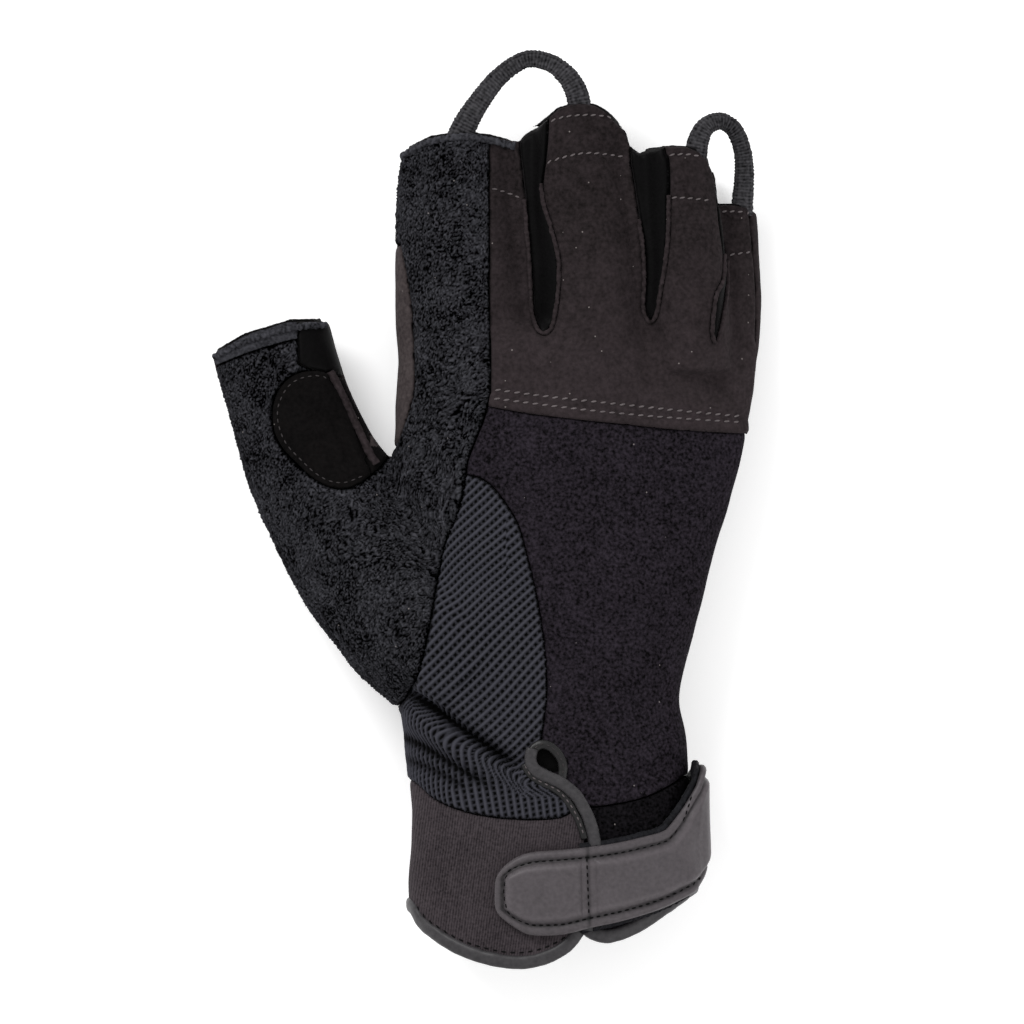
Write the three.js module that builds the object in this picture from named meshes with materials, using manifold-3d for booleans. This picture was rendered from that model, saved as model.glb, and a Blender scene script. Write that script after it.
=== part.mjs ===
// Short-fingered sailing glove for the right hand, lying on its palm with the back of the hand up.
// Millimetres, +Z up, fingers along +Y, thumb towards -X. The origin is under the middle of the glove.
// Every cloth piece is cut from one hollow hand form, so neighbours meet along their seams.
import * as THREE from "three";
import { mergeVertices } from "three/addons/utils/BufferGeometryUtils.js";
import Module from "manifold-3d";

const wasm = await Module();
wasm.setup();

// Driving dimensions
const cloth = 1.6; // wall of the glove
const seamGap = 0.34; // room between two sewn pieces
const sideSeam = 14; // height of the seam between palm and back
const palmFlat = 1.5; // height of the palm cloth where the glove rests
const handSides = 32; // flats round the hand
const fingerSides = 18; // flats round a finger
const thumbSides = 20;
const palmCuffSeam = -65; // y of the seam between palm and cuff
const squareness = 2.35; // superellipse power of the hand's section
const facetMerge = 0.13; // facets flatter than this are joined
const far = 130; // beyond the glove on every side
const hemWidth = 3.6; // width of the bound wrist edge
const bindingProud = 0.8; // how far a binding stands off the cloth, inside and outside
const facingLength = 9.5; // tip facing turned into each finger
const facingWall = 0.9;
const strapWidth = 19.5;
const strapThickness = 1.9;
const loopPatchLift = 0.35; // loop patch above the cuff
const loopPatchThickness = 1.0;
const hookLift = 1.7; // hook patch and lining above the cuff
const hookThickness = 1.0;
const strapLift = 3.0; // strap above the cuff

const v2 = (x, y) => new THREE.Vector2(x, y);
const v3 = (x, y, z) => new THREE.Vector3(x, y, z);

// A smooth plan line through hand-placed points
function line(points, steps = 3) {
  const curve = new THREE.SplineCurve(points.map(([x, y]) => v2(x, y)));
  return curve.getPoints(steps * (points.length - 1));
}

// A closed three.js geometry as a manifold solid
function solid(geometry) {
  const bare = geometry.clone();
  bare.deleteAttribute("normal");
  bare.deleteAttribute("uv");
  const merged = mergeVertices(bare, 1e-4);
  return new wasm.Manifold(
    new wasm.Mesh({
      numProp: 3,
      vertProperties: merged.attributes.position.array,
      triVerts: new Uint32Array(merged.index.array),
    }),
  );
}

// A manifold solid as a three.js geometry
function geometryOf(made) {
  const mesh = made.getMesh();
  const geometry = new THREE.BufferGeometry();
  geometry.setAttribute("position", new THREE.BufferAttribute(new Float32Array(mesh.vertProperties), 3));
  geometry.setIndex(new THREE.BufferAttribute(new Uint32Array(mesh.triVerts), 1));
  geometry.computeVertexNormals();
  return geometry;
}

// Rings of equal count joined into a closed tube with flat ends
function loft(rings) {
  const count = rings[0].length;
  const points = rings.flat();
  const faces = [];
  for (let r = 0; r + 1 < rings.length; r++) {
    for (let i = 0; i < count; i++) {
      const a = r * count + i;
      const b = r * count + ((i + 1) % count);
      faces.push(a, b, b + count, a, b + count, a + count);
    }
  }
  const last = points.length - count;
  for (let i = 1; i + 1 < count; i++) {
    faces.push(0, i + 1, i);
    faces.push(last, last + i, last + i + 1);
  }
  const geometry = new THREE.BufferGeometry().setFromPoints(points);
  geometry.setIndex(faces);
  const made = solid(geometry);
  if (made.volume() > 0) return made;
  for (let f = 0; f < faces.length; f += 3) [faces[f + 1], faces[f + 2]] = [faces[f + 2], faces[f + 1]];
  geometry.setIndex(faces);
  return solid(geometry);
}

// A plan outline raised into a solid between two heights
function prism(outline, bottom, top) {
  const geometry = new THREE.ExtrudeGeometry(new THREE.Shape(outline), {
    depth: top - bottom,
    bevelEnabled: false,
  });
  geometry.translate(0, 0, bottom);
  return solid(geometry);
}

const plain = (corners) => corners.map(([x, y]) => v2(x, y));
const block = (x0, y0, z0, x1, y1, z1) =>
  prism(plain([[x0, y0], [x1, y0], [x1, y1], [x0, y1]]), z0, z1);

// A plan line widened into a strip; widths may change from its first point to its last
function strip(points, leftWidth, rightWidth = leftWidth) {
  const left = [];
  const right = [];
  points.forEach((p, i) => {
    const before = points[Math.max(i - 1, 0)];
    const after = points[Math.min(i + 1, points.length - 1)];
    const along = after.clone().sub(before).normalize();
    const share = i / (points.length - 1);
    const out = typeof leftWidth === "function" ? leftWidth(share) : leftWidth;
    const over = typeof rightWidth === "function" ? rightWidth(share) : rightWidth;
    left.push(v2(p.x - along.y * out, p.y + along.x * out));
    right.push(v2(p.x + along.y * over, p.y - along.x * over));
  });
  return left.concat(right.reverse());
}

const seamCut = (points) => prism(strip(points, seamGap / 2), sideSeam - 2, far);

// ---- The hand form -------------------------------------------------------------------------

// Hand stations: y, left side, right side, bottom, top, drop of the top towards the little finger
const handStations = [
  [-118, -18.5, 53.5, 2.2, 42, 0],
  [-98, -18.8, 52.6, 2.2, 41.5, 0],
  [-80, -18.2, 51.6, 2.0, 41, 0],
  [-68, -18.6, 50.3, 1.2, 40.5, 0.5],
  [-56, -20, 49.4, 0.2, 40, 1],
  [-45, -20.5, 48.4, -0.8, 39, 2],
  [-30, -21, 52, -1.4, 37.5, 3],
  [-12, -22, 57, -1.6, 36, 4.5],
  [5, -23.5, 61.6, -1.6, 35, 6],
  [20, -22.8, 65, -1.4, 34, 8],
  [33, -21.6, 67, -1, 32, 9],
  [41, -20, 67, 0, 30, 10],
  [45.5, -16, 63, 3, 26.5, 8],
];

function handRing([y, left, right, bottom, top, drop], offset) {
  const middle = (left + right) / 2;
  const half = (right - left) / 2 + offset;
  const centre = (bottom + top) / 2;
  const rise = (top - bottom) / 2 + offset;
  const ring = [];
  for (let i = 0; i < handSides; i++) {
    const turn = (2 * Math.PI * i) / handSides;
    const c = Math.cos(turn);
    const s = Math.sin(turn);
    const across = Math.sign(c) * Math.abs(c) ** (2 / squareness);
    const up = Math.sign(s) * Math.abs(s) ** (2 / squareness);
    const fall = up > 0 ? drop * Math.max(across, 0) * up : 0;
    ring.push(v3(middle + half * across, y, Math.max(centre + rise * up - fall, palmFlat - offset)));
  }
  return ring;
}

const handForm = (offset, reach) =>
  loft(
    handStations.map((station, i) => {
      const ends = [...station];
      if (i === 0) ends[0] -= reach;
      if (i === handStations.length - 1) ends[0] += offset;
      return handRing(ends, offset);
    }),
  );

// A finger or the thumb: stations of plan centre, half width, height of its middle and half height.
// Its sections stand square to the line of its centres.
const fingers = {
  index: [[-5, 30, 16.2, 15.5, 14], [-5.6, 50, 16, 15.5, 13], [-6.6, 76, 14.9, 15.2, 12.2],
    [-6.6, 93, 13.9, 15, 12]],
  middle: [[26.5, 34, 14, 17.5, 13.5], [25.8, 55, 14, 17.8, 13], [23.6, 78, 13.6, 17.8, 12.6],
    [23, 100.5, 12.2, 17.8, 12]],
  ring: [[50.5, 34, 11, 18.8, 10.6], [50, 52, 10.3, 20, 10], [48.7, 72, 9.8, 20.4, 9.8],
    [47.4, 90.3, 9.2, 20.4, 9.4]],
  little: [[56.6, 28, 9, 11.5, 9], [60.6, 48, 8.2, 9.4, 8.6], [61.2, 62, 7.6, 8.9, 8.3],
    [60.9, 75.8, 7.2, 8.8, 8]],
};
const thumbStations = [
  [-4, -41, 18, 21, 17.5], [-16, -29, 20, 19.5, 17], [-28, -14.5, 19.8, 16.5, 15],
  [-38.2, -0.8, 18.2, 14.6, 13.2], [-45, 14.4, 16.6, 13.6, 12.2], [-49.8, 28, 15.5, 13.2, 11.7],
  [-54, 41.4, 15.2, 13.2, 11.4]];

function fingerForm(stations, offset, reach, sides) {
  const last = stations.length - 1;
  const rings = stations.map(([x, y, half, middle, rise], i) => {
    const before = stations[Math.max(i - 1, 0)];
    const after = stations[Math.min(i + 1, last)];
    const along = v2(after[0] - before[0], after[1] - before[1]).normalize();
    const push = i === last ? reach : 0;
    const ring = [];
    for (let k = 0; k < sides; k++) {
      const turn = (2 * Math.PI * k) / sides;
      const out = Math.cos(turn) * (half + offset);
      const up = Math.max(middle + Math.sin(turn) * (rise + offset), palmFlat - offset);
      ring.push(v3(x + along.x * push + along.y * out, y + along.y * push - along.x * out, up));
    }
    return ring;
  });
  return loft(rings);
}

// The whole hand, grown by an offset, with its open ends carried on by a reach
function wholeForm(offset, reach) {
  let form = handForm(offset, reach).add(fingerForm(thumbStations, offset, reach, thumbSides));
  for (const stations of Object.values(fingers))
    form = form.add(fingerForm(stations, offset, reach, fingerSides));
  return form;
}

const outer = wholeForm(0, 0);
const inner = wholeForm(-cloth, 3);

// ---- Wrist edge and slit -------------------------------------------------------------------

const slitLine = line([[14.4, -60.5], [16.6, -65.5], [21, -70.5], [24.8, -76.5], [26.8, -84], [27.2, -92],
  [26.6, -99], [25.2, -105], [23.6, -116]], 2);
const slitMouth = (share) => (share < 0.22 ? 0.55 + 1.5 * Math.sin((Math.PI * share) / 0.22) : 0.55);
const slitHole = prism(strip(slitLine, slitMouth), sideSeam, far);
const slitBindingWidth = (share) => slitMouth(share) + 2.5;
const slitEnd = slitLine[0];
const slitEndRadius = 3.05;
function slitZone(extra) {
  const roundEnd = new THREE.Path().absarc(slitEnd.x, slitEnd.y, slitEndRadius + extra, 0, 2 * Math.PI);
  const along = prism(strip(slitLine, (share) => slitBindingWidth(share) + extra), sideSeam - extra, far);
  return along.add(prism(roundEnd.getPoints(14).slice(1), sideSeam - extra, far));
}
const slitBand = slitZone(0);
const slitBandRoom = slitZone(seamGap);

const hemLine = line([[-21.5, -98.5], [-19, -100.5], [-12, -107.5], [-2, -112.4], [9, -114], [19, -112.4],
  [25.5, -106.5], [32, -107.6], [39, -105.4], [46, -100.2], [52, -96.2], [56, -94.5]], 3);
const hemEnds = [[-21.5, -98.5], [56, -94.5]];
const below = (points, lift) =>
  points.map((p) => v2(p.x, p.y + lift)).concat(plain([[far, points.at(-1).y], [far, -far], [-far, -far],
    [-far, points[0].y]]));
function belowHem(lift) {
  const back = prism(below(hemLine, lift), sideSeam, far);
  const palm = prism(below(plain(hemEnds), lift), -far, sideSeam);
  return back.add(palm);
}

// ---- Seams on the back ---------------------------------------------------------------------

const towelSide = line([[1, 102], [1, 70], [1, 40], [0.8, 26], [-3.2, 17], [-5.3, 8.2], [-7.2, -1],
  [-10.2, -13], [-12.4, -25.5], [-15.2, -38], [-20.5, -49], [-26, -56]], 2);
const knuckleEdge = line([[-1, 25.4], [8, 23.8], [20, 21.8], [40, 20], [56, 19.2], [72, 18.6]], 2);
const gussetSide = line([[-5.6, 9.4], [-2, 8], [3.4, 3.8], [8.4, -5.5], [11.2, -18], [13.6, -33], [15, -46],
  [14.6, -58]], 2);
const cuffSeam = line([[-24, -65], [-18, -68], [-11.5, -71.7], [-1.5, -75.4], [8.5, -77], [18.5, -76.8],
  [27, -75.2], [41, -71.6], [51, -66.6], [57, -65]], 2);
const suedeEdge = line([[-28, 66], [-22, 62.5], [-19.4, 59], [-18.4, 50], [-18.2, 38], [-19, 28], [-21, 20],
  [-24.5, 12.5], [-28.5, 7], [-34, 4.6], [-41.2, 6.2], [-47.6, 10.8], [-52, 17], [-53.4, 24.5], [-51.2, 30.8],
  [-45, 34], [-39, 33.4], [-32, 31]], 2);
const patchSplit = line([[-24, 26], [-24, 15], [-25, 4]], 2);
const thumbHemLine = plain([[-72, 28.6], [-34, 42.4]]);
const thumbSeam = line([[-23.5, 25], [-21.5, 12], [-12, 2], [-5, -14], [-5, -30], [-11, -44], [-22, -55]], 2);

// ---- Fourchettes: the side walls between two fingers ---------------------------------------

// A slanted bar from a plan station to another, with a section turned about +Y
function bar(stations, lean) {
  return loft(
    stations.map(([x, y, z, half, rise]) =>
      [[-1, -1], [1, -1], [1, 1], [-1, 1]].map(([i, j]) => {
        const corner = v2(i * half, j * rise).rotateAround(v2(0, 0), lean);
        return v3(x + corner.x, y, z + corner.y);
      }),
    ),
  );
}
const gussets = {
  index_middle: {
    lean: 0,
    stations: [[15, 40.5, 24, 3.6, 18], [12.6, 70, 24, 3.9, 18], [11.4, 108, 24, 4, 18]],
  },
  middle_ring: {
    lean: 0,
    stations: [[41.6, 43, 24, 2.5, 18], [41.4, 70, 24, 3.6, 18], [40.8, 108, 24, 4.2, 18]],
  },
  ring_little: {
    lean: THREE.MathUtils.degToRad(-41),
    stations: [[57.4, 38, 15, 2.6, 8], [56.2, 56, 14.6, 4, 8], [55.8, 98, 14.4, 4, 8]],
  },
};
const grown = (stations) => stations.map(([x, y, z, half, rise], i) =>
  [x, i === 0 ? y - seamGap : y, z, half + seamGap, rise + seamGap]);

// ---- Cutting the pieces --------------------------------------------------------------------

const shell = outer.subtract(inner).subtract(belowHem(0));
const seams = [towelSide, knuckleEdge, gussetSide, suedeEdge, patchSplit, thumbHemLine]
  .map(seamCut)
  .reduce((sum, cut) => sum.add(cut));
const gussetRoom = Object.values(gussets)
  .map(({ lean, stations }) => bar(grown(stations), lean))
  .reduce((sum, cut) => sum.add(cut));

// The palm's share of the cloth: below the side seam, and below the ring finger's own side seam
const ringSeam = 18.5;
function palmShare(extra) {
  const hand = block(-far, palmCuffSeam, -far, far, far, sideSeam + extra);
  const ring = fingerForm(fingers.ring, 0.6 + extra, 1, fingerSides);
  return hand.add(ring.intersect(block(-far, 0, -far, far, far, ringSeam + extra)));
}

// The cloth above the cuff, with room left for seams, fourchettes and the slit's binding
const upperCuffLine = prism(strip(cuffSeam, seamGap / 2), sideSeam, far)
  .add(prism(strip(plain([[-30, palmCuffSeam], [62, palmCuffSeam]]), seamGap / 2), -far, sideSeam));
const backCloth = shell.subtract(palmShare(seamGap)).subtract(seams).subtract(upperCuffLine)
  .subtract(slitBandRoom).subtract(gussetRoom);

const region = (outline) => prism(outline, sideSeam, far);
function cuffSideOf(y) {
  return cuffSeam.concat(plain([[far, palmCuffSeam], [far, y], [-far, y], [-far, palmCuffSeam]]));
}
const aboveCuff = cuffSideOf(far);
const belowCuff = cuffSideOf(-far);
const aboveKnuckle = knuckleEdge.concat(plain([[far, 18.6], [far, far], [-1, far]]));
const leftOfTowel = towelSide.concat(plain([[-far, -56], [-far, 102]]));
const suedeSide = suedeEdge.concat(plain([[-31, 45], [-32, 66]]));
const leftOfSplit = patchSplit.concat(plain([[-60, 0], [-62, 40], [-28, 40]]));
const beyondThumbHem = thumbHemLine.concat(plain([[-40, 70], [-90, 70]]));
const gussetArea = gussetSide.concat(plain([[24, -70], [24, -far], [-far, -far], [-far, -56]]),
  towelSide.slice().reverse().filter((p) => p.y < 9.4));

const towelArea = region(leftOfTowel).subtract(region(suedeSide));
const thumbHem = backCloth.intersect(region(beyondThumbHem));
const towel = backCloth.intersect(towelArea).subtract(region(beyondThumbHem));
const suede = backCloth.intersect(region(suedeSide));
const knuckle = backCloth.intersect(region(aboveKnuckle)).subtract(region(leftOfTowel));
const gusset = backCloth.intersect(region(gussetArea)).intersect(region(aboveCuff));
const back = backCloth.intersect(region(aboveCuff)).subtract(region(aboveKnuckle))
  .subtract(region(leftOfTowel)).subtract(region(gussetArea));

const palmCloth = shell.subtract(upperCuffLine).subtract(gussetRoom).intersect(palmShare(0));
const thumbSide = prism(thumbSeam.concat(plain([[-far, -55], [-far, 60], [-26, 60]])), -far, far);
const thumbCut = prism(strip(thumbSeam, seamGap / 2), -far, far);
const thumbPalm = palmCloth.subtract(thumbCut).intersect(thumbSide);
const palm = palmCloth.subtract(thumbCut).subtract(thumbSide);

const cuffZone = prism(belowCuff, sideSeam, far).add(block(-far, -far, -far, far, palmCuffSeam, sideSeam));
const cuffCloth = shell.subtract(upperCuffLine).subtract(slitBandRoom).intersect(cuffZone)
  .subtract(belowHem(hemWidth + seamGap));

// Bindings are the same wall made thicker, folded round the cloth's edge
const thickWall = handForm(bindingProud, 0).subtract(handForm(-cloth - bindingProud, 3));
const hemBinding = thickWall.intersect(belowHem(hemWidth)).subtract(belowHem(0)).subtract(slitBandRoom);
const slitBinding = thickWall.intersect(slitBand).subtract(slitHole).subtract(belowHem(0));

// ---- Facings turned in at the tips ---------------------------------------------------------

function tipFacing(stations, sides) {
  const ring = fingerForm(stations, -cloth - seamGap, -0.2, sides)
    .subtract(fingerForm(stations, -cloth - seamGap - facingWall, 3, sides));
  const [x, y] = stations.at(-1);
  const [bx, by] = stations.at(-2);
  const along = v2(x - bx, y - by).normalize();
  const start = v2(x, y).addScaledVector(along, -facingLength);
  const across = v2(along.y, -along.x);
  const corner = (out, up) => start.clone().addScaledVector(across, out).addScaledVector(along, up);
  return ring.intersect(prism([corner(-30, 0), corner(30, 0), corner(30, 40), corner(-30, 40)], -far, far));
}

// ---- Palm reinforcement --------------------------------------------------------------------

const palmPatchOutline = line([[-2, 30], [14, 35], [34, 35], [52, 32], [58, 24], [55, 6], [48, -14],
  [38, -30], [22, -38], [8, -32], [2, -14], [-2, 2], [-8, 14], [-2, 30]], 3).slice(1);
const palmPatch = prism(palmPatchOutline, 0, palmFlat - seamGap);

// ---- Strap ---------------------------------------------------------------------------------

// A point on the wrist's outside: turn 0 is the little-finger side, a quarter turn is the top
function wristPoint(turn, y, lift) {
  let i = 0;
  while (i + 2 < handStations.length && handStations[i + 1][0] < y) i++;
  const low = handStations[i];
  const high = handStations[i + 1];
  const share = (y - low[0]) / (high[0] - low[0]);
  const [, left, right, bottom, top] = low.map((value, k) => value + (high[k] - value) * share);
  const c = Math.cos(turn);
  const s = Math.sin(turn);
  const across = Math.sign(c) * Math.abs(c) ** (2 / squareness);
  const up = Math.sign(s) * Math.abs(s) ** (2 / squareness);
  return v3((left + right) / 2 + ((right - left) / 2 + lift) * across, y,
    (bottom + top) / 2 + ((top - bottom) / 2 + lift) * up);
}

// A band that lies round the wrist between two turns, along a centre line, between two lifts
function wristBand(from, to, centreY, halfWidth, low, high, steps = 18, across = 5) {
  const grid = (lift) => {
    const rows = [];
    for (let i = 0; i <= steps; i++) {
      const turn = from + ((to - from) * i) / steps;
      const half = halfWidth(i / steps);
      rows.push(Array.from({ length: across + 1 }, (_, j) =>
        wristPoint(turn, centreY(turn) + half * ((2 * j) / across - 1), lift)));
    }
    return rows;
  };
  const under = grid(low);
  const over = grid(high);
  return loft(under.map((row, i) => row.concat(over[i].slice().reverse())));
}

const deg = THREE.MathUtils.degToRad;
const tabTurn = deg(109); // rounded end of the strap, on the back of the wrist
const hingeTurn = deg(4); // where the strap leaves its sewn end
const anchorTurn = deg(-46); // sewn end under the wrist
const strapCentre = (turn) => -94.6 + 16.5 * Math.max(0, 1 - (turn - hingeTurn) / deg(78)) ** 1.6;
// Round end: the half width follows a quarter circle near the tab
const roundEnd = (half, reach) => (share) =>
  half * Math.sqrt(Math.max(1 - Math.max(0, (share - (1 - reach)) / reach) ** 2, 0.02));
const strapBody = wristBand(hingeTurn + deg(2), tabTurn, strapCentre, roundEnd(strapWidth / 2, 0.15),
  strapLift, strapLift + strapThickness, 26);
const strapLining = wristBand(hingeTurn + deg(3), deg(84), strapCentre, () => strapWidth / 2 - 1.6,
  hookLift, hookLift + hookThickness, 16);
const hookPatch = wristBand(deg(87), tabTurn - deg(3), strapCentre, roundEnd(strapWidth / 2 - 2, 0.35),
  hookLift, hookLift + hookThickness, 8);
const loopPatch = wristBand(deg(88), tabTurn - deg(2), () => -94.2, () => 8, loopPatchLift,
  loopPatchLift + loopPatchThickness, 8);
const anchorCentre = (turn) => strapCentre(hingeTurn) + (turn - hingeTurn) * 2;
const strapAnchor = wristBand(anchorTurn, hingeTurn - deg(2), anchorCentre, () => strapWidth / 2,
  loopPatchLift, strapLift + strapThickness, 12);

// ---- Pull loops ----------------------------------------------------------------------------

// A flat knitted cord along an arch, its ends just clear of the finger tips
function pullLoop(points, width, thickness) {
  const section = new THREE.Shape().absellipse(0, 0, thickness / 2, width / 2, 0, 2 * Math.PI);
  const path = new THREE.CatmullRomCurve3(points.map(([x, y, z]) => v3(x, y, z)));
  const geometry = new THREE.ExtrudeGeometry(section, { steps: 22, curveSegments: 5, extrudePath: path });
  return solid(geometry);
}
const longLoop = pullLoop([[-5.4, 94.6, 24.6], [-2.2, 100.5, 24.4], [3.6, 107.8, 24.2], [10, 111.4, 24.2],
  [16.5, 110.8, 25], [22.5, 106.6, 26.2], [25.2, 102.6, 26.8]], 5.2, 2.6);
const shortLoop = pullLoop([[52.8, 92.8, 22.5], [54.8, 95.4, 21.8], [58.6, 97.4, 20.4], [62.6, 95.4, 18],
  [64.6, 90, 15.4], [65, 84, 12.8], [64.6, 78.4, 11.4]], 4.6, 2.4);

// ---- The glove -----------------------------------------------------------------------------

const finishes = {
  towelling: { color: 0x1f1f24, roughness: 0.95 },
  suede: { color: 0x312d2e, roughness: 0.85 },
  stretch: { color: 0x1e1a1f, roughness: 0.8 },
  mesh: { color: 0x2a2a2e, roughness: 0.8 },
  neoprene: { color: 0x383335, roughness: 0.85 },
  lycra: { color: 0x0b0a0c, roughness: 0.5 },
  leatherette: { color: 0x545154, roughness: 0.45 },
  piping: { color: 0x454446, roughness: 0.5 },
  hook: { color: 0x101010, roughness: 0.9 },
  webbing: { color: 0x2c2c2e, roughness: 0.9 },
};
const glove = new THREE.Group();

// Trimming leaves a few crumbs beside a piece, so the largest body is the piece
function add(name, made, finish) {
  const body = made.simplify(facetMerge).decompose().sort((a, b) => b.volume() - a.volume());
  const material = new THREE.MeshStandardMaterial({ ...finishes[finish], metalness: 0, name: finish });
  const mesh = new THREE.Mesh(geometryOf(body[0]), material);
  mesh.name = name;
  glove.add(mesh);
}

add("towel_panel", towel, "towelling");
add("thumb_hem", thumbHem, "towelling");
add("knuckle_panel", knuckle, "suede");
add("back_panel", back, "stretch");
add("mesh_gusset", gusset, "mesh");
add("index_edge_strip", suede.subtract(region(leftOfSplit)), "suede");
add("thumb_patch", suede.intersect(region(leftOfSplit)), "suede");
add("palm_panel", palm, "suede");
add("thumb_palm_panel", thumbPalm, "suede");
add("palm_patch", palmPatch, "suede");
add("cuff_band", cuffCloth, "neoprene");
add("cuff_hem_binding", hemBinding, "piping");
add("slit_binding", slitBinding, "piping");
for (const [between, { lean, stations }] of Object.entries(gussets))
  add("fourchette_" + between, shell.intersect(bar(stations, lean)), "lycra");
for (const [finger, stations] of Object.entries(fingers))
  add(finger + "_tip_facing", tipFacing(stations, fingerSides), "lycra");
add("thumb_tip_facing", tipFacing(thumbStations, thumbSides), "lycra");
add("strap_anchor", strapAnchor, "leatherette");
add("wrist_strap", strapBody, "leatherette");
add("strap_lining", strapLining, "hook");
add("strap_hook_patch", hookPatch, "hook");
add("cuff_loop_patch", loopPatch, "hook");
add("index_middle_pull_loop", longLoop, "webbing");
add("ring_little_pull_loop", shortLoop, "webbing");

export default glove;
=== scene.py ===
import math
import bpy
import bmesh
import numpy as np
from mathutils import Vector, Matrix, noise
from mathutils.bvhtree import BVHTree
from mathutils.kdtree import KDTree


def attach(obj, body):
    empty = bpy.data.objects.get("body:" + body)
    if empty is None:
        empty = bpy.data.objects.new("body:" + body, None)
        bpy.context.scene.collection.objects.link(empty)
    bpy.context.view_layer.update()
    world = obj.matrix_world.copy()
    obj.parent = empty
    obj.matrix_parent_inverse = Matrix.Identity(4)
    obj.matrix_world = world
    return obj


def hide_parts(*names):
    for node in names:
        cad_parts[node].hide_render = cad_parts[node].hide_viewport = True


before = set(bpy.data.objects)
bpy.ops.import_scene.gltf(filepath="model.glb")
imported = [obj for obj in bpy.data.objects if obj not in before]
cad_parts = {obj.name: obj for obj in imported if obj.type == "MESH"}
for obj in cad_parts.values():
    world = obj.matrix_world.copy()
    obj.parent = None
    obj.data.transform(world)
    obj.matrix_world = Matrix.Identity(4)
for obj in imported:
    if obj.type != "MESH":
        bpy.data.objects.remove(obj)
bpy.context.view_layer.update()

mm = 0.001
skinVoxel, liningVoxel = 0.75, 0.35
weld = 0.16  # vertices nearer than this are merged after a cut

# A short-fingered sailing glove in the shape of a hand that fills it, back of the hand up.
# Lengths in the dictionaries are millimetres; meshes are metres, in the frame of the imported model.


def toLinear(hexColour):
    parts = [int(hexColour[i:i + 2], 16) / 255 for i in (0, 2, 4)]
    return [c / 12.92 if c <= 0.04045 else ((c + 0.055) / 1.055) ** 2.4 for c in parts] + [1.0]


def smoothRows(rows, steps):
    # a smooth run of rows through the ones given, with this many steps between two of them
    rows = np.array(rows, float)
    ends = np.vstack([2 * rows[0] - rows[1], rows, 2 * rows[-1] - rows[-2]])
    made = []
    for i in range(1, len(ends) - 2):
        a, b, c, d = ends[i - 1:i + 3]
        for k in range(steps):
            t = k / steps
            made.append(0.5 * (2 * b + (c - a) * t + (2 * a - 5 * b + 4 * c - d) * t ** 2
                               + (3 * b - a - 3 * c + d) * t ** 3))
    made.append(rows[-1])
    return np.array(made)


def newMesh(name, bm):
    mesh = bpy.data.meshes.new(name)
    bm.to_mesh(mesh)
    bm.free()
    piece = bpy.data.objects.new(name, mesh)
    bpy.context.scene.collection.objects.link(piece)
    return piece


def smoothShade(piece):
    for face in piece.data.polygons:
        face.use_smooth = True


def pick(piece):
    bpy.ops.object.select_all(action="DESELECT")
    piece.select_set(True)
    bpy.context.view_layer.objects.active = piece


def applyModifier(piece, kind, **settings):
    modifier = piece.modifiers.new(kind, kind)
    for key, value in settings.items():
        setattr(modifier, key, value)
    pick(piece)
    bpy.ops.object.modifier_apply(modifier=modifier.name)


def loftRings(name, rings):
    # a closed skin through rings of points, in millimetres
    bm = bmesh.new()
    rows = [[bm.verts.new(Vector(p) * mm) for p in ring] for ring in rings]
    for low, high in zip(rows, rows[1:]):
        for i in range(len(low)):
            j = (i + 1) % len(low)
            bm.faces.new((low[i], low[j], high[j], high[i]))
    bm.faces.new(rows[0][::-1])
    bm.faces.new(rows[-1])
    bmesh.ops.recalc_face_normals(bm, faces=bm.faces)
    return newMesh(name, bm)


def vertexArray(piece):
    co = np.empty(len(piece.data.vertices) * 3)
    piece.data.vertices.foreach_get("co", co)
    return co.reshape(-1, 3) / mm


def normalArray(piece):
    no = np.empty(len(piece.data.vertices) * 3)
    piece.data.vertices.foreach_get("normal", no)
    return no.reshape(-1, 3)


def setVertices(piece, co):
    piece.data.vertices.foreach_set("co", (co * mm).ravel())
    piece.data.update()


def lineDistance(points, line):
    # plan distance of many points to a line of corners, and the share along it of the nearest spot
    line = np.array(line, float)[:, :2]
    points = points[:, :2]
    best, share = np.full(len(points), 1e9), np.zeros(len(points))
    lengths = np.linalg.norm(np.diff(line, axis=0), axis=1)
    total, run = lengths.sum(), 0
    for start, end, length in zip(line, line[1:], lengths):
        along = (end - start) / max(length, 1e-9)
        rel = points - start
        t = np.clip(rel @ along, 0, length)
        off = rel - t[:, None] * along
        dist = np.linalg.norm(off, axis=1)
        nearer = dist < best
        best[nearer] = dist[nearer]
        share[nearer] = (run + t[nearer]) / total
        run += length
    return best, share


# the form: one smooth hand that every panel is cut from
hand = {
    "sides": 72,
    "squareness": 2.35,
    "floor": 1.5,
    # y, left, right, bottom, top, drop of the back towards the little finger
    "stations": [
        [-122, -19, 53.5, 2.2, 42, 0], [-98, -19.3, 52.8, 2.2, 41.5, 0], [-80, -18.4, 51.4, 2.0, 41, 0],
        [-68, -18.8, 50.4, 1.2, 40.5, 0.5], [-58, -20, 50.2, 0.4, 40, 1], [-49, -21, 48.2, -0.8, 39, 2],
        [-40, -21, 49.6, -1.1, 38.2, 2.5], [-30, -21, 52.2, -1.4, 37.5, 3], [-12, -22, 57, -1.6, 36, 4.5],
        [5, -23.5, 61.8, -1.6, 35, 6], [20, -22.8, 65.3, -1.4, 34, 8], [33, -22, 67.4, -1, 32, 9],
        [42, -20.5, 67.4, 0, 30, 10], [47, -17, 63, 3, 26.5, 8]],
}
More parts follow.
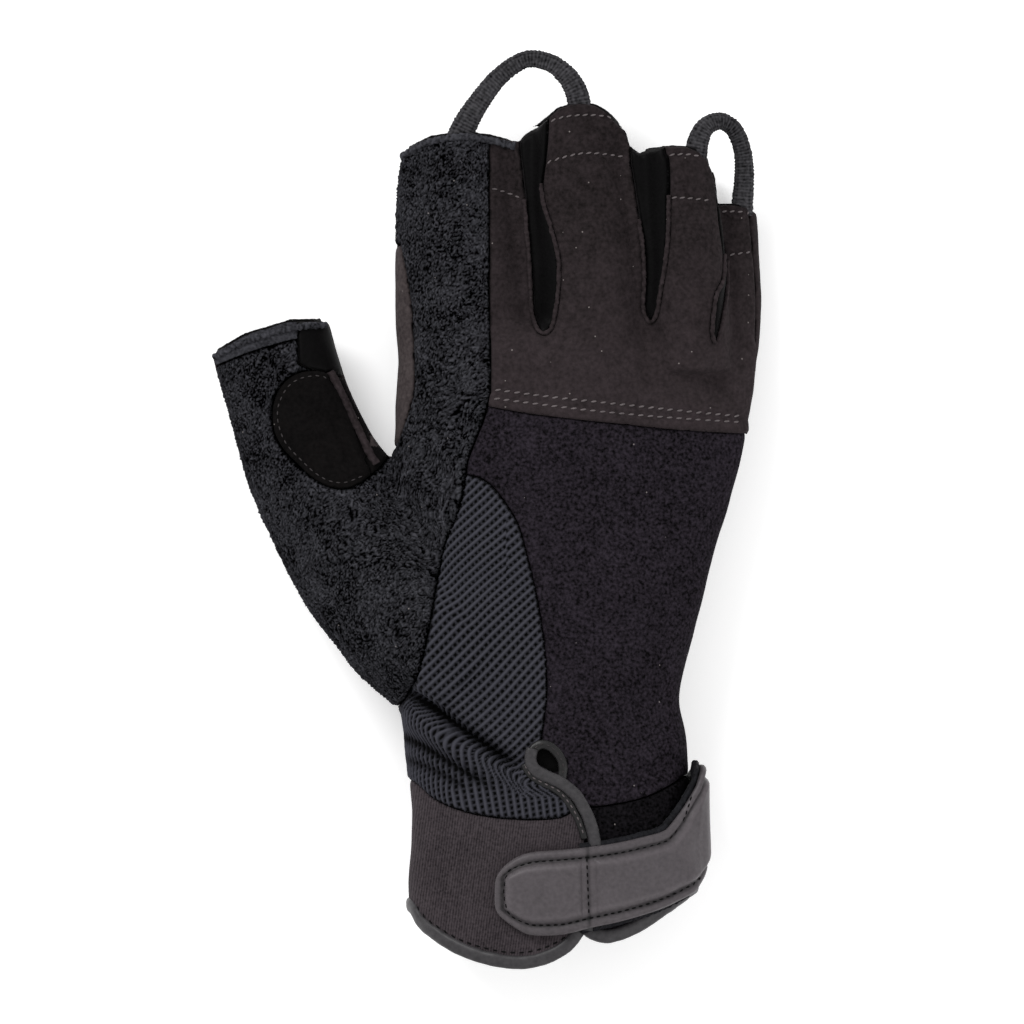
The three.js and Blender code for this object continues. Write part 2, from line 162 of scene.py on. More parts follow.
# finger stations: plan centre, half width, middle height, half height
fingers = {
    "index": [[-5, 30, 16.4, 15.5, 14], [-5.2, 50, 17.2, 15.5, 13], [-6.1, 64, 16.7, 15.4, 12.6],
              [-6.4, 78, 16.1, 15.2, 12.2], [-6.4, 91, 14.4, 15, 12], [-6.4, 100, 13.2, 15, 11.6]],
    "middle": [[26.5, 34, 14, 17.5, 13.5], [25.6, 55, 14.3, 17.8, 13], [24.8, 66, 14.2, 17.8, 12.8],
               [23.4, 80, 13.7, 17.8, 12.6], [22.8, 94, 12.8, 17.8, 12.2], [22.6, 108, 11.8, 17.8, 12]],
    "ring": [[50.5, 34, 11, 18.8, 10.6], [50.2, 52, 10.2, 20, 10], [49.6, 64, 9.9, 20.3, 9.9],
             [48.3, 78, 9.8, 20.4, 9.7], [47.4, 90, 9.3, 20.4, 9.4], [46.8, 100, 8.7, 20.4, 9.2]],
    "little": [[56.6, 28, 9.2, 11.5, 9], [60.6, 46, 8.4, 9.6, 8.8], [61.1, 60, 7.9, 9.1, 8.4],
               [60.9, 72, 7.3, 8.9, 8.1], [60.6, 86, 6.8, 8.8, 7.9]],
    "webIndexMiddle": [[13.4, 40, 4, 15, 8], [11.6, 60, 4, 16, 8.5], [9.8, 78, 4, 16.5, 8.5],
                       [9.2, 92, 4.6, 16.5, 8.5], [9.2, 104, 4.6, 16.5, 8.5]],
    "webMiddleRing": [[41, 42, 3.6, 17, 7.5], [39.8, 60, 3.8, 18.5, 7.5], [37.8, 78, 4, 19, 7.5],
                      [37, 90, 4.6, 19, 7.5], [37, 104, 4.6, 19, 7.5]],
    "thumb": [[-4, -41, 18, 21, 17.5], [-16, -29, 20, 19.5, 17], [-27.4, -14.2, 20, 16.8, 15.2],
              [-36.8, -0.8, 18.6, 14.8, 13.4], [-43.6, 11.4, 16.9, 13.8, 12.4], [-49.2, 26, 15.6, 13.3, 11.8],
              [-54, 42, 15.2, 13.2, 11.5], [-56.4, 50, 14.9, 13.2, 11.3]],
}


def handRings(grow):
    rings = []
    for y, left, right, bottom, top, drop in smoothRows(hand["stations"], 4):
        turn = np.linspace(0, 2 * math.pi, hand["sides"], endpoint=False)
        c, s = np.cos(turn), np.sin(turn)
        across = np.sign(c) * np.abs(c) ** (2 / hand["squareness"])
        up = np.sign(s) * np.abs(s) ** (2 / hand["squareness"])
        fall = np.where(up > 0, drop * np.maximum(across, 0) * up, 0)
        x = (left + right) / 2 + ((right - left) / 2 + grow) * across
        z = (bottom + top) / 2 + ((top - bottom) / 2 + grow) * up - fall
        rings.append(np.stack([x, np.full_like(x, y), np.maximum(z, hand["floor"] - grow)], 1))
    return rings


def fingerRings(stations, grow):
    rows = smoothRows(stations, 4)
    rings = []
    for i, (x, y, half, middle, rise) in enumerate(rows):
        before = rows[max(i - 1, 0)]
        after = rows[min(i + 1, len(rows) - 1)]
        along = (after[:2] - before[:2]) / np.linalg.norm(after[:2] - before[:2])
        turn = np.linspace(0, 2 * math.pi, 48, endpoint=False)
        out = np.cos(turn) * (half + grow)
        up = np.maximum(middle + np.sin(turn) * (rise + grow), hand["floor"] - grow)
        rings.append(np.stack([x + along[1] * out, y - along[0] * out, up], 1))
    return rings


# folds and dents pressed into the whole form: line, depth (minus is a ridge), half width
folds = [
    ([[-23, -44], [-13.5, -49.4], [-6.5, -54.4], [2.5, -60.4], [9.5, -65]], 3.4, 1.5),
    ([[-21, -38.5], [-11, -44.6], [-3.5, -50], [5, -57], [11, -61]], -2.2, 2.8),
    ([[-24, -50], [-15, -54.6], [-7, -59.6], [2, -66], [8, -70]], -1.5, 2.4),
    ([[-25, -55], [-15, -59.5], [-6, -65], [3, -70]], 2.0, 1.9),
    ([[-22, -61.5], [-12, -65.5], [-3, -70.5]], 1.3, 1.6),
    ([[14.3, 43], [13.6, 34], [13.4, 27]], 1.1, 3.2),
    ([[41, 46], [41.3, 37], [41.6, 30]], 1.2, 3.2),
    ([[57.2, 42], [57.6, 33], [58, 26]], 1.0, 2.6),
    ([[49, -52], [40, -57], [30, -62]], 1.0, 2.6),
    ([[51, -61], [42, -65.5], [33, -69]], 0.8, 2.2),
    ([[49, -44], [42, -47], [36, -49]], 0.6, 2.4),
    ([[-27, 8], [-20, 0], [-14, -12], [-13, -26]], 0.9, 3.5),
    ([[-23.5, 57.5], [-18, 56.4], [-12, 56.8]], 0.5, 1.5),
]


def buildForm():
    parts = [loftRings("form_hand", handRings(0))]
    parts += [loftRings("form_" + name, fingerRings(rows, 0)) for name, rows in fingers.items()]
    bpy.ops.object.select_all(action="DESELECT")
    for part in parts:
        part.select_set(True)
    bpy.context.view_layer.objects.active = parts[0]
    bpy.ops.object.join()
    form = parts[0]
    form.name = "form"
    applyModifier(form, "REMESH", mode="VOXEL", voxel_size=skinVoxel * mm, adaptivity=0)
    applyModifier(form, "SMOOTH", factor=0.6, iterations=14)
    co, no = vertexArray(form), normalArray(form)
    for line, depth, width in folds:
        path = smoothRows(line, 5)
        dist, share = lineDistance(co, path)
        ends = np.clip(np.minimum(share, 1 - share) / 0.16, 0, 1)
        press = depth * np.exp(-(dist / width) ** 2) * ends * np.clip(no[:, 2] * 1.5, 0, 1)
        co -= press[:, None] * no
    soft = np.array([noise.noise(Vector(p) / 17) for p in co]) * 0.55
    soft += np.array([noise.noise(Vector(p) / 7 + Vector((9, 4, 2))) for p in co]) * 0.2
    soft *= np.clip((co[:, 2] - 1.5) / 4, 0, 1)
    setVertices(form, co + soft[:, None] * no)
    applyModifier(form, "SMOOTH", factor=0.5, iterations=2)
    return form


form = buildForm()
print("form built")
marks = [bpy.data.materials.new("mark_form"), bpy.data.materials.new("mark_cut")]
form.data.materials.clear()
for mark in marks:
    form.data.materials.append(mark)


far = 150  # past every edge of the glove
below, above = -20, 80  # heights under and over the whole glove


def prism(outline, low, high):
    bm = bmesh.new()
    bottom = [bm.verts.new((x * mm, y * mm, low * mm)) for x, y in outline]
    top = [bm.verts.new((x * mm, y * mm, high * mm)) for x, y in outline]
    bm.faces.new(bottom[::-1])
    bm.faces.new(top)
    for i in range(len(bottom)):
        j = (i + 1) % len(bottom)
        bm.faces.new((bottom[i], bottom[j], top[j], top[i]))
    bmesh.ops.triangulate(bm, faces=bm.faces)
    bmesh.ops.recalc_face_normals(bm, faces=bm.faces)
    for face in bm.faces:
        face.material_index = 1
    cutter = newMesh("cutter", bm)
    for mark in marks:
        cutter.data.materials.append(mark)
    return cutter


def cutWith(piece, cutter, how):
    applyModifier(piece, "BOOLEAN", object=cutter, operation=how, solver="MANIFOLD", material_mode="INDEX")
    bpy.data.objects.remove(cutter)


def copyOf(piece, name):
    twin = piece.copy()
    twin.data = piece.data.copy()
    twin.name = name
    bpy.context.scene.collection.objects.link(twin)
    return twin


def dropScraps(bm, least):
    # offcuts with fewer faces than this fall away with the vertices that no face uses
    scraps, seen = {v for v in bm.verts if not v.link_faces}, set()
    for first in bm.faces:
        if first in seen:
            continue
        island, queue = {first}, [first]
        while queue:
            for edge in queue.pop().edges:
                for face in edge.link_faces:
                    if face not in island:
                        island.add(face)
                        queue.append(face)
        seen |= island
        if len(island) < least:
            scraps |= {vertex for face in island for vertex in face.verts}
    bmesh.ops.delete(bm, geom=[v for v in bm.verts if v in scraps], context="VERTS")


def cutPanel(name, keep, drop=()):
    # keep and drop are (outline, low, high); the panel is the skin of the form inside keep and outside drop
    panel = copyOf(form, name + "_cloth")
    cutWith(panel, prism(*keep), "INTERSECT")
    for zone in drop:
        cutWith(panel, prism(*zone), "DIFFERENCE")
    bm = bmesh.new()
    bm.from_mesh(panel.data)
    bmesh.ops.delete(bm, geom=[f for f in bm.faces if f.material_index == 1], context="FACES")
    bmesh.ops.remove_doubles(bm, verts=bm.verts, dist=weld * mm)
    bmesh.ops.dissolve_degenerate(bm, edges=bm.edges, dist=0.05 * mm)
    dropScraps(bm, 200)
    bm.to_mesh(panel.data)
    bm.free()
    panel.data.materials.clear()
    return panel


# seams in plan, read from finger tips to wrist
tipLine = [[-32, 84], [-24, 88], [-20.3, 89.8], [-14, 92.7], [-5.3, 94], [1.1, 93.1], [7.4, 91.6], [8.5, 92.2],
           [15.5, 97.7], [17.8, 99.6], [21, 100.6], [24.8, 100.9], [27.5, 100.4], [30, 99.1], [32.4, 97],
           [34.4, 94.2], [35.4, 90.4], [38.5, 88.6], [40.5, 89.6], [46.5, 90.2], [50.5, 90], [53.5, 89],
           [55.6, 86.8], [57, 83], [57.6, 79], [58, 76.1], [62, 76], [66, 75.5], [68, 74.4], [76, 72]]
towelSide = [[1.1, 96], [1.1, 60], [1.1, 30], [0.4, 25.4], [-0.8, 21.4], [-2.8, 16.6], [-4.5, 12], [-5, 8.4]]
gussetLeft = [[-5, 8.4], [-6, 2], [-8, -3.5], [-10.4, -9.5], [-12, -18], [-13.4, -27], [-15.5, -36.6],
              [-17.6, -43], [-21, -48.6], [-30, -57]]
gussetRight = [[-5, 8.4], [-1.2, 7.4], [2.3, 4.6], [6, -0.4], [8.5, -5.4], [10.5, -12.9], [12.3, -20.4],
               [13.9, -29], [14.9, -38], [15.1, -46], [14.4, -52.5], [13.6, -57.6]]
knuckleEdge = [[1.1, 25.7], [11, 23.9], [23.5, 22.4], [33.5, 21.4], [48.5, 19.9], [65, 19.1], [78, 18.8]]
slitLine = [[13.6, -57.6], [14.6, -61.5], [16.6, -65.6], [20.4, -69.2], [23.4, -73.4], [25.4, -79], [26.2, -86],
            [25.6, -96], [24.3, -104.5], [23.8, -120]]
slitTurn = 4  # the point of slitLine where the cuff's seams meet it
cuffLeft = [[-30, -63], [-18.6, -67.9], [-14, -71.6], [-9, -74.1], [-1.5, -76.1], [8.5, -77.1], [18.5, -76.6],
            [23.4, -73.4]]
cuffRight = [[23.4, -73.4], [27, -74.1], [38.5, -72.1], [46, -69], [51, -66.4], [62, -63]]
hemLine = [[-26, -97], [-19, -100.6], [-15.8, -105], [-7.5, -110.4], [1, -113.2], [8.5, -114], [15, -112.6],
           [20, -109.8], [23, -106], [24.3, -104.4], [26, -106.4], [30.5, -107.6], [37.5, -105.2], [45.3, -100.4],
           [53, -95.6], [60, -93]]
palmHem = [[-30, -98.4], [60, -94.8]]
suedeStrip = [[-21.6, 66], [-19.4, 54], [-18.6, 45.4], [-18.3, 30.1], [-20.1, 22.6], [-22.8, 15.6], [-26, 10.8],
              [-28.4, 8.7]]
thumbPatch = [[-28.4, 8.7], [-31, 6.6], [-35, 5], [-39, 5.4], [-43, 7.4], [-47, 10.9], [-51, 15], [-53.2, 19.6],
              [-53.4, 25.4], [-51.2, 30.6], [-47, 33.8], [-41.8, 34.6], [-37.6, 33.4]]
thumbHemSeam = [[-74, 33.6], [-66, 36.4], [-59, 39], [-50.3, 41.6], [-46.8, 42.4]]
thumbTip = [[-72, 37.2], [-68.5, 38.6], [-60.3, 43.1], [-54, 45], [-49, 46.6], [-39.5, 47], [-34, 47.2]]
gapIndexMiddle = [[8.5, 104], [8, 91.8], [8.9, 83.4], [9.6, 77.1], [10.5, 66], [11.2, 56], [11.5, 49.5],
                  [12.6, 45], [14.4, 43.5], [16.4, 45], [17.6, 50], [18.2, 56], [18.1, 62.5], [16.4, 69.6],
                  [14.5, 75.9], [13.9, 81], [14.7, 87.1], [15.4, 97.2], [15.4, 104]]
gapMiddleRing = [[35.8, 104], [35.6, 88.6], [36.9, 79.6], [38.1, 72.1], [39.2, 64.6], [39.5, 56], [39.3, 49.8],
                 [40.9, 46.5], [42.7, 48.4], [43.6, 54], [44.6, 60], [45.4, 68], [45.6, 78], [45.5, 86.6],
                 [44.3, 90], [44.3, 104]]
gapRingLittle = [[56.6, 90], [57.6, 80], [58.4, 71], [59.4, 63.4], [59.1, 57.1], [57.3, 53], [56.3, 45],
                 [56.9, 41.5], [58.1, 42.6], [59.2, 48], [60.1, 55], [60.2, 62], [59.2, 70], [58.4, 78], [58.2, 90]]
keyhole = [[12.1, -61.4], [12.7, -59.4], [14.4, -58.6], [16.3, -59.8], [17.8, -62.2], [18.3, -64.8],
           [16.8, -65.2], [14.6, -64.3], [12.8, -63.2]]
palmOverlay = [[-2, 30], [14, 35], [34, 35], [52, 32], [58, 24], [55, 6], [48, -14], [38, -30], [22, -38],
               [8, -32], [2, -14], [-2, 2], [-8, 14], [-2, 30]]


def curve(rows, steps=4):
    return smoothRows(rows, steps).tolist()


def slitStrip(width):
    path = smoothRows(slitLine[2:], 3)
    along = np.gradient(path, axis=0)
    along /= np.linalg.norm(along, axis=1)[:, None]
    side = np.stack([-along[:, 1], along[:, 0]], 1) * width / 2
    return (path + side).tolist() + (path - side)[::-1].tolist()


sideSeam = 14  # the height where the back is sewn to the palm
upperSlit = curve(slitLine[:slitTurn + 1])
zones = {
    "indexMiddle": (curve(gapIndexMiddle, 3), 6, above),
    "middleRing": (curve(gapMiddleRing, 3), 6, above),
    "ringLittle": (curve(gapRingLittle, 3), 8, above),
    "strip": (curve(suedeStrip) + [[-29.4, 12.6], [-28.6, 20], [-27.5, 40], [-27.5, 64]], sideSeam, above),
    "patch": (curve(thumbPatch) + [[-33, 32], [-29.6, 22], [-28.6, 17], [-29.4, 12.6]], sideSeam, above),
    "thumbHem": (curve(thumbHemSeam) + curve(thumbTip)[::-1], sideSeam, above),
    "thumbGusset": ([[-46.8, 42.4], [-46.6, 36.2], [-44, 34.8], [-37.6, 33.6], [-33, 33], [-33, 50], [-47, 50]],
                    sideSeam, above),
    "thumbEnd": (curve(thumbTip) + [[-34, 70], [-90, 70]], below, above),
    "keyhole": (curve(keyhole + keyhole[:1], 3)[:-1], sideSeam, above),
    "slit": (slitStrip(1.2), 20, above),
    "belowHem": (curve(hemLine, 5) + [[60, -far], [-30, -far]], sideSeam, above),
    "belowPalmHem": (palmHem + [[60, -far], [-30, -far]], below, sideSeam),
}
thumbPalmSeam = curve([[-23.5, 25], [-21.5, 12], [-12, 2], [-5, -14], [-5, -30], [-11, -44], [-22, -55]])
thumbPalm = thumbPalmSeam + [[-90, -55], [-90, 60], [-26, 60]]
z = zones
gaps = [z["indexMiddle"], z["middleRing"], z["ringLittle"]]
beyondTips = (tipLine + [[76, far], [-40, far]], below, above)
panelPlans = {
    "towel_panel": ((tipLine[:6] + curve(towelSide)[1:] + curve(gussetLeft)[1:] + [[-90, -57], [-90, 60], [-32, 60]],
                     sideSeam, above), [z["strip"], z["patch"], z["thumbHem"], z["thumbGusset"], z["thumbEnd"]]),
    "knuckle_panel": ((curve(knuckleEdge) + tipLine[:4:-1], sideSeam, above), gaps),
    "back_panel": ((curve(knuckleEdge)[::-1] + curve(towelSide[3:])[:-1] + curve(gussetRight)[:-1] + upperSlit[:-1]
                    + curve(cuffRight) + [[78, -63]], sideSeam, above), [z["keyhole"]]),
    "mesh_gusset": ((curve(gussetLeft) + curve(cuffLeft) + upperSlit[::-1][1:-1] + curve(gussetRight)[::-1][:-1],
                     sideSeam, above), [z["keyhole"]]),
    "index_edge_strip": (z["strip"], []),
    "thumb_patch": (z["patch"], [z["thumbEnd"]]),
    "thumb_hem": (z["thumbHem"], [z["thumbGusset"], z["thumbEnd"]]),
    "thumb_gusset": (z["thumbGusset"], [z["thumbEnd"], z["patch"]]),
    "fourchette_index_middle": (z["indexMiddle"], [beyondTips]),
    "fourchette_middle_ring": (z["middleRing"], [beyondTips]),
    "fourchette_ring_little": (z["ringLittle"], [beyondTips]),
    "palm_panel": (([[-40, -65], [78, -65], [78, 72]] + tipLine[::-1] + [[-40, 84]], below, sideSeam),
                   gaps + [(thumbPalm, below, above)]),
    "thumb_palm_panel": ((thumbPalm, below, sideSeam),
                         [z["thumbEnd"], ([[-40, -65], [78, -65], [78, -90], [-40, -90]], below, above)]),
    "cuff_band": ((curve(cuffLeft) + curve(cuffRight)[1:] + [[78, -63], [78, -far], [-30, -far]], sideSeam, above),
                  [z["keyhole"], z["slit"], z["belowHem"]]),
    "cuff_palm": (([[-30, -65], [78, -65], [78, -far], [-30, -far]], below, sideSeam), [z["belowPalmHem"]]),
}


def thicken(panel, thickness, cuts):
    # the skin gets an inner face; only the outer face is made finer, since the pattern is on it
    count = len(panel.data.vertices)
    applyModifier(panel, "SOLIDIFY", thickness=thickness * mm, offset=-1, use_rim=True, use_even_offset=False)
    bm = bmesh.new()
    bm.from_mesh(panel.data)
    outside = bm.verts.layers.float.new("outside")
    bm.verts.ensure_lookup_table()
    for i, v in enumerate(bm.verts):
        v[outside] = 1.0 if i < count else 0.0
    for _ in range(cuts):
        edges = [e for e in bm.edges if e.verts[0][outside] > 0.99 and e.verts[1][outside] > 0.99]
        bmesh.ops.subdivide_edges(bm, edges=edges, cuts=1, use_grid_fill=True)
    bmesh.ops.triangulate(bm, faces=[f for f in bm.faces if len(f.verts) > 4])
    bm.to_mesh(panel.data)
    bm.free()
    out = np.empty(len(panel.data.vertices))
    panel.data.attributes["outside"].data.foreach_get("value", out)
    return out > 0.99


def borderTree(panel):
    # the points of the panel's cut edge, for finding how far a point is from it
    bm = bmesh.new()
    bm.from_mesh(panel.data)
    rim = [v.co.copy() for v in bm.verts if v.is_boundary]
    bm.free()
    tree = KDTree(len(rim))
    for i, co in enumerate(rim):
        tree.insert(co, i)
    tree.balance()
    return tree


def keepAttribute(panel, name, values):
    layer = panel.data.attributes.get(name) or panel.data.attributes.new(name, "FLOAT", "POINT")
    layer.data.foreach_set("value", np.asarray(values, float))


def loopPile(co, near, look):
    # towelling: one knot of yarn per cell, each of its own height
    heights = np.empty(len(co))
    for i, p in enumerate(co):
        swirl = 2.4 * noise.noise(Vector(p) / 9) + 0.6
        c, s = math.cos(swirl), math.sin(swirl)
        spot = Vector(((p[0] * c + p[1] * s) / 1.5, (p[1] * c - p[0] * s) / 0.8, p[2] / 1.1)) / look["cell"]
        distances, points = noise.voronoi(spot)
        rank = 0.5 + 0.5 * noise.cell(points[0] * 7.3)
        heights[i] = max(0, 1 - 1.3 * distances[0] ** 1.3) * (0.35 + 0.65 * rank)
    heights *= np.clip(near / 0.9, 0.1, 1)
    return heights


def waffle(co, near, look):
    # open knit: heavy slanted ribs, lighter bars across them, holes between
    x = co[:, 0] - np.where(co[:, 0] < 5, 1, -1) * np.clip(36 - co[:, 2], 0, 30) * 0.8
    y = co[:, 1]
    # below the deep fold the cloth is gathered into the cuff and its ribs turn upright
    below = np.clip((np.interp(x, [-23, -13.5, -6.5, 2.5, 9.5], [-44, -49.4, -54.4, -60.4, -65]) - y) / 7, 0, 1)
    lean = np.radians(look["lean"] + 58 * below * below * (3 - 2 * below))
    x, y = x + 6, y + 60
    bend = 0.5 * np.sin(y / 8 + x / 15) + 0.3 * np.sin(x / 6)
    across = (-x * np.sin(lean) + y * np.cos(lean) + bend) / look["pitch"]
    along = (x * np.cos(lean) + y * np.sin(lean) + bend) / (look["pitch"] * 0.82)
    rib = (0.5 + 0.5 * np.cos(2 * math.pi * across)) ** 1.3
    bar = (0.5 + 0.5 * np.cos(2 * math.pi * along)) ** 1.8 * look["bar"]
    return np.maximum(rib, bar) * np.clip(near / 0.6, 0.2, 1)


def crepe(co, near, look):
    # brushed or knitted cloth: only a faint unevenness of the surface
    rough = np.array([noise.noise(Vector(p) / look["cell"]) for p in co])
    # the nap is made darker towards the finger tips
    return 0.62 + 0.2 * rough - 0.42 * np.clip((co[:, 1] - 34) / 40, 0, 1)


def shapePanel(panel, look, laps=(), creases=(), shadedHollows=()):
    # a cut skin becomes sewn cloth: thick, rolled in at its seams, with its pattern raised on it. Laps are
    # seams that lie over their neighbour, creases are pressed lines, shaded hollows are lines darkened with painted
    # shade, where no light gets in
    tree = borderTree(panel)
    outer = thicken(panel, look["thickness"], look["cuts"])
    co, no = vertexArray(panel), normalArray(panel)
    near = np.array([tree.find(Vector(p) * mm)[2] for p in co]) / mm
    roll = look.get("roll", 0.5) * np.clip(1 - near / look.get("rollWidth", 1.5), 0, 1) ** 2
    lift = np.full(len(co), look.get("lift", 0.0))
    for line, height in laps:
        dist, share = lineDistance(co, curve(line))
        lapped = dist < 2.4
        roll = np.where(lapped & (near < 2.4), np.clip(1 - near / 0.5, 0, 1) ** 2 * 0.25, roll)
        lift += height * np.clip(1 - dist / 3.0, 0, 1) ** 0.7
    for line, depth, width in creases:
        dist, share = lineDistance(co, curve(line))
        ends = np.clip(np.minimum(share, 1 - share) / 0.08, 0, 1)
        lift -= depth * np.exp(-(dist / width) ** 2) * ends
    height = look["pattern"](co, near, look)
    lift += look["relief"] * height
    # painted shade: along these lines the colour is darkened
    for line, amount, width in shadedHollows:
        dist, share = lineDistance(co, curve(line))
        ends = np.clip(np.minimum(share, 1 - share) / 0.2, 0, 1)
        height = height * (1 - amount * np.exp(-(dist / width) ** 2) * ends)
    move = np.where(outer, lift - roll, 0)
    inner = np.where(~outer, -roll * 0.6 + np.minimum(look.get("lift", 0.0), 0.4), 0)
    setVertices(panel, co + (move + inner)[:, None] * np.where(outer[:, None], no, no * -1))
    # the pattern's height is kept for the colour as well: its hollows become painted shade
    keepAttribute(panel, "pile_and_shade", np.where(outer, height, 0.4))
    panel.data.attributes.remove(panel.data.attributes["outside"])
    smoothShade(panel)
    return panel


def addNode(tree, kind, values=None, links=None, **settings):
    node = tree.nodes.new(kind)
    for key, value in settings.items():
        setattr(node, key, value)
    for key, value in (values or {}).items():
        node.inputs[key].default_value = value
    for key, source in (links or {}).items():
        tree.links.new(source, node.inputs[key])
    return node


# Each cloth, where it differs from the usual one: dark and light are the colours in the hollows and on the
# tops of its pile, the dark in the hollows being painted shade; grain is the size of its finest visible unevenness
# and cloud that of its slow changes of shade, both in millimetres; fleck is its lint, lines the spacing of its ribs
# and turn their slant.
# Grain is two to four times the real yarn or nap, which is too fine to show from this far.
usualCloth = dict(bump=0.3, rough=0.9, sheen=0.05, fleck=0.3, depth=0.3, gloss=0.05, low=0.24, high=0.75,
                  mottle=0.35, lines=0)
cloths = {
    # cotton towelling, looped: matt, near black with a blue cast, painted shade in the hollows and painted highlights
    # where fibres catch light on each loop
    "cottonTowelling": dict(dark="000000", light="444449", grain=0.34, cloud=5, bump=0.8, rough=0.95, sheen=0.0,
                            fleck=0.6, depth=0.7, low=0.325, high=0.65, gloss=0.01),
    # polyamide microfibre suede, brushed: warm charcoal, mottled nap, pale lint here and there
    "microfibreSuede": dict(dark="141111", light="362f31", grain=0.5, cloud=4.5, bump=0.4, fleck=1.0, depth=0.5,
                            mottle=0.25, low=0.25, high=0.66),
    # a lighter suede binding
    "paleSuede": dict(dark="262122", light="4a4343", grain=0.5, cloud=4.5, bump=0.4, sheen=0.06, fleck=1.0, low=0.3,
                      high=0.68),
    # the same suede in black on the thumb
    "blackSuede": dict(dark="010101", light="121010", grain=0.5, cloud=5, bump=0.4, sheen=0.04, fleck=0.5),
    # nylon and elastane stretch, close knit: nearly black with a plum cast, flat and even
    "stretchKnit": dict(dark="070607", light="2e2930", grain=0.4, cloud=9, bump=0.35, rough=0.85, sheen=0.02,
                        depth=0.25, mottle=0.1, low=0.31, high=0.55, gloss=0.02),
    # the same knit made darker, right of the slit under the strap: flat black
    "blackKnit": dict(dark="020202", light="19171a", grain=0.4, cloud=9, bump=0.35, sheen=0.02, depth=0.25,
                      mottle=0.1, low=0.31, high=0.55, gloss=0.01),
    # polyester waffle mesh, open knit: lighter yarn on the ribs, painted shade black in the holes
    "waffleMesh": dict(dark="010101", light="3c3c43", grain=0.35, cloud=8, bump=0.4, rough=0.8, sheen=0.04,
                       fleck=0.0, depth=1.1),
    # neoprene faced with fine jersey: dull dark grey with a brown cast
    "jerseyNeoprene": dict(dark="141113", light="413b3e", grain=0.34, cloud=8, rough=0.88, lines=0.66, turn=8,
                           low=0.36, high=0.74),
    # glossy elastane between the fingers: black, soft highlights
    "glossElastane": dict(dark="020202", light="0b0a0b", grain=0.4, cloud=7, bump=0.15, rough=0.5, sheen=0.1,
                          fleck=0.0, depth=0.2),
    # polyurethane leathercloth, embossed fine and satin: dark grey, wide soft highlights
    "satinLeathercloth": dict(dark="100f10", light="534e51", grain=0.5, cloud=9, bump=0.12, rough=0.45, sheen=0.0,
                              fleck=0.1, depth=0.9, low=0.18, high=0.68, gloss=0.22),
    # the same leathercloth as piping, a little darker where it is stretched round the edge
    "edgeLeathercloth": dict(dark="232224", light="424042", grain=0.5, cloud=5, bump=0.15, rough=0.42, sheen=0.0,
                             fleck=0.1, gloss=0.25),
    # glossy black leathercloth round the top of the wrist slit
    "blackLeathercloth": dict(dark="060606", light="1e1d1e", grain=0.5, cloud=4, bump=0.2, rough=0.38, sheen=0.0,
                              fleck=0.1, gloss=0.35),
    # hook and loop pile: black tangle that glints
    "hookAndLoop": dict(dark="030303", light="26262a", grain=0.3, cloud=4, bump=0.6, rough=0.6, sheen=0.2,
                        fleck=0.4, depth=0.9),
    # knitted elastic: dark grey cross ribs
    "knittedElastic": dict(dark="060607", light="4a494c", grain=0.4, cloud=4, bump=0.8, depth=0.5, low=0.34,
                           high=0.7),
    # polyester sewing thread, grey
    "greyThread": dict(dark="4a4546", light="787071", grain=0.25, cloud=6, bump=0.1, rough=0.6, sheen=0.2,
                       fleck=0.0),
    # polyester sewing thread, black
    "blackThread": dict(dark="060606", light="131314", grain=0.25, cloud=6, bump=0.1, rough=0.6, sheen=0.1,
                        fleck=0.0),
    # black thread in brushed black cloth, where it shows greyish
    "dullThread": dict(dark="2c292a", light="4a4647", grain=0.25, cloud=6, bump=0.1, rough=0.7, sheen=0.1,
                       fleck=0.0),
}


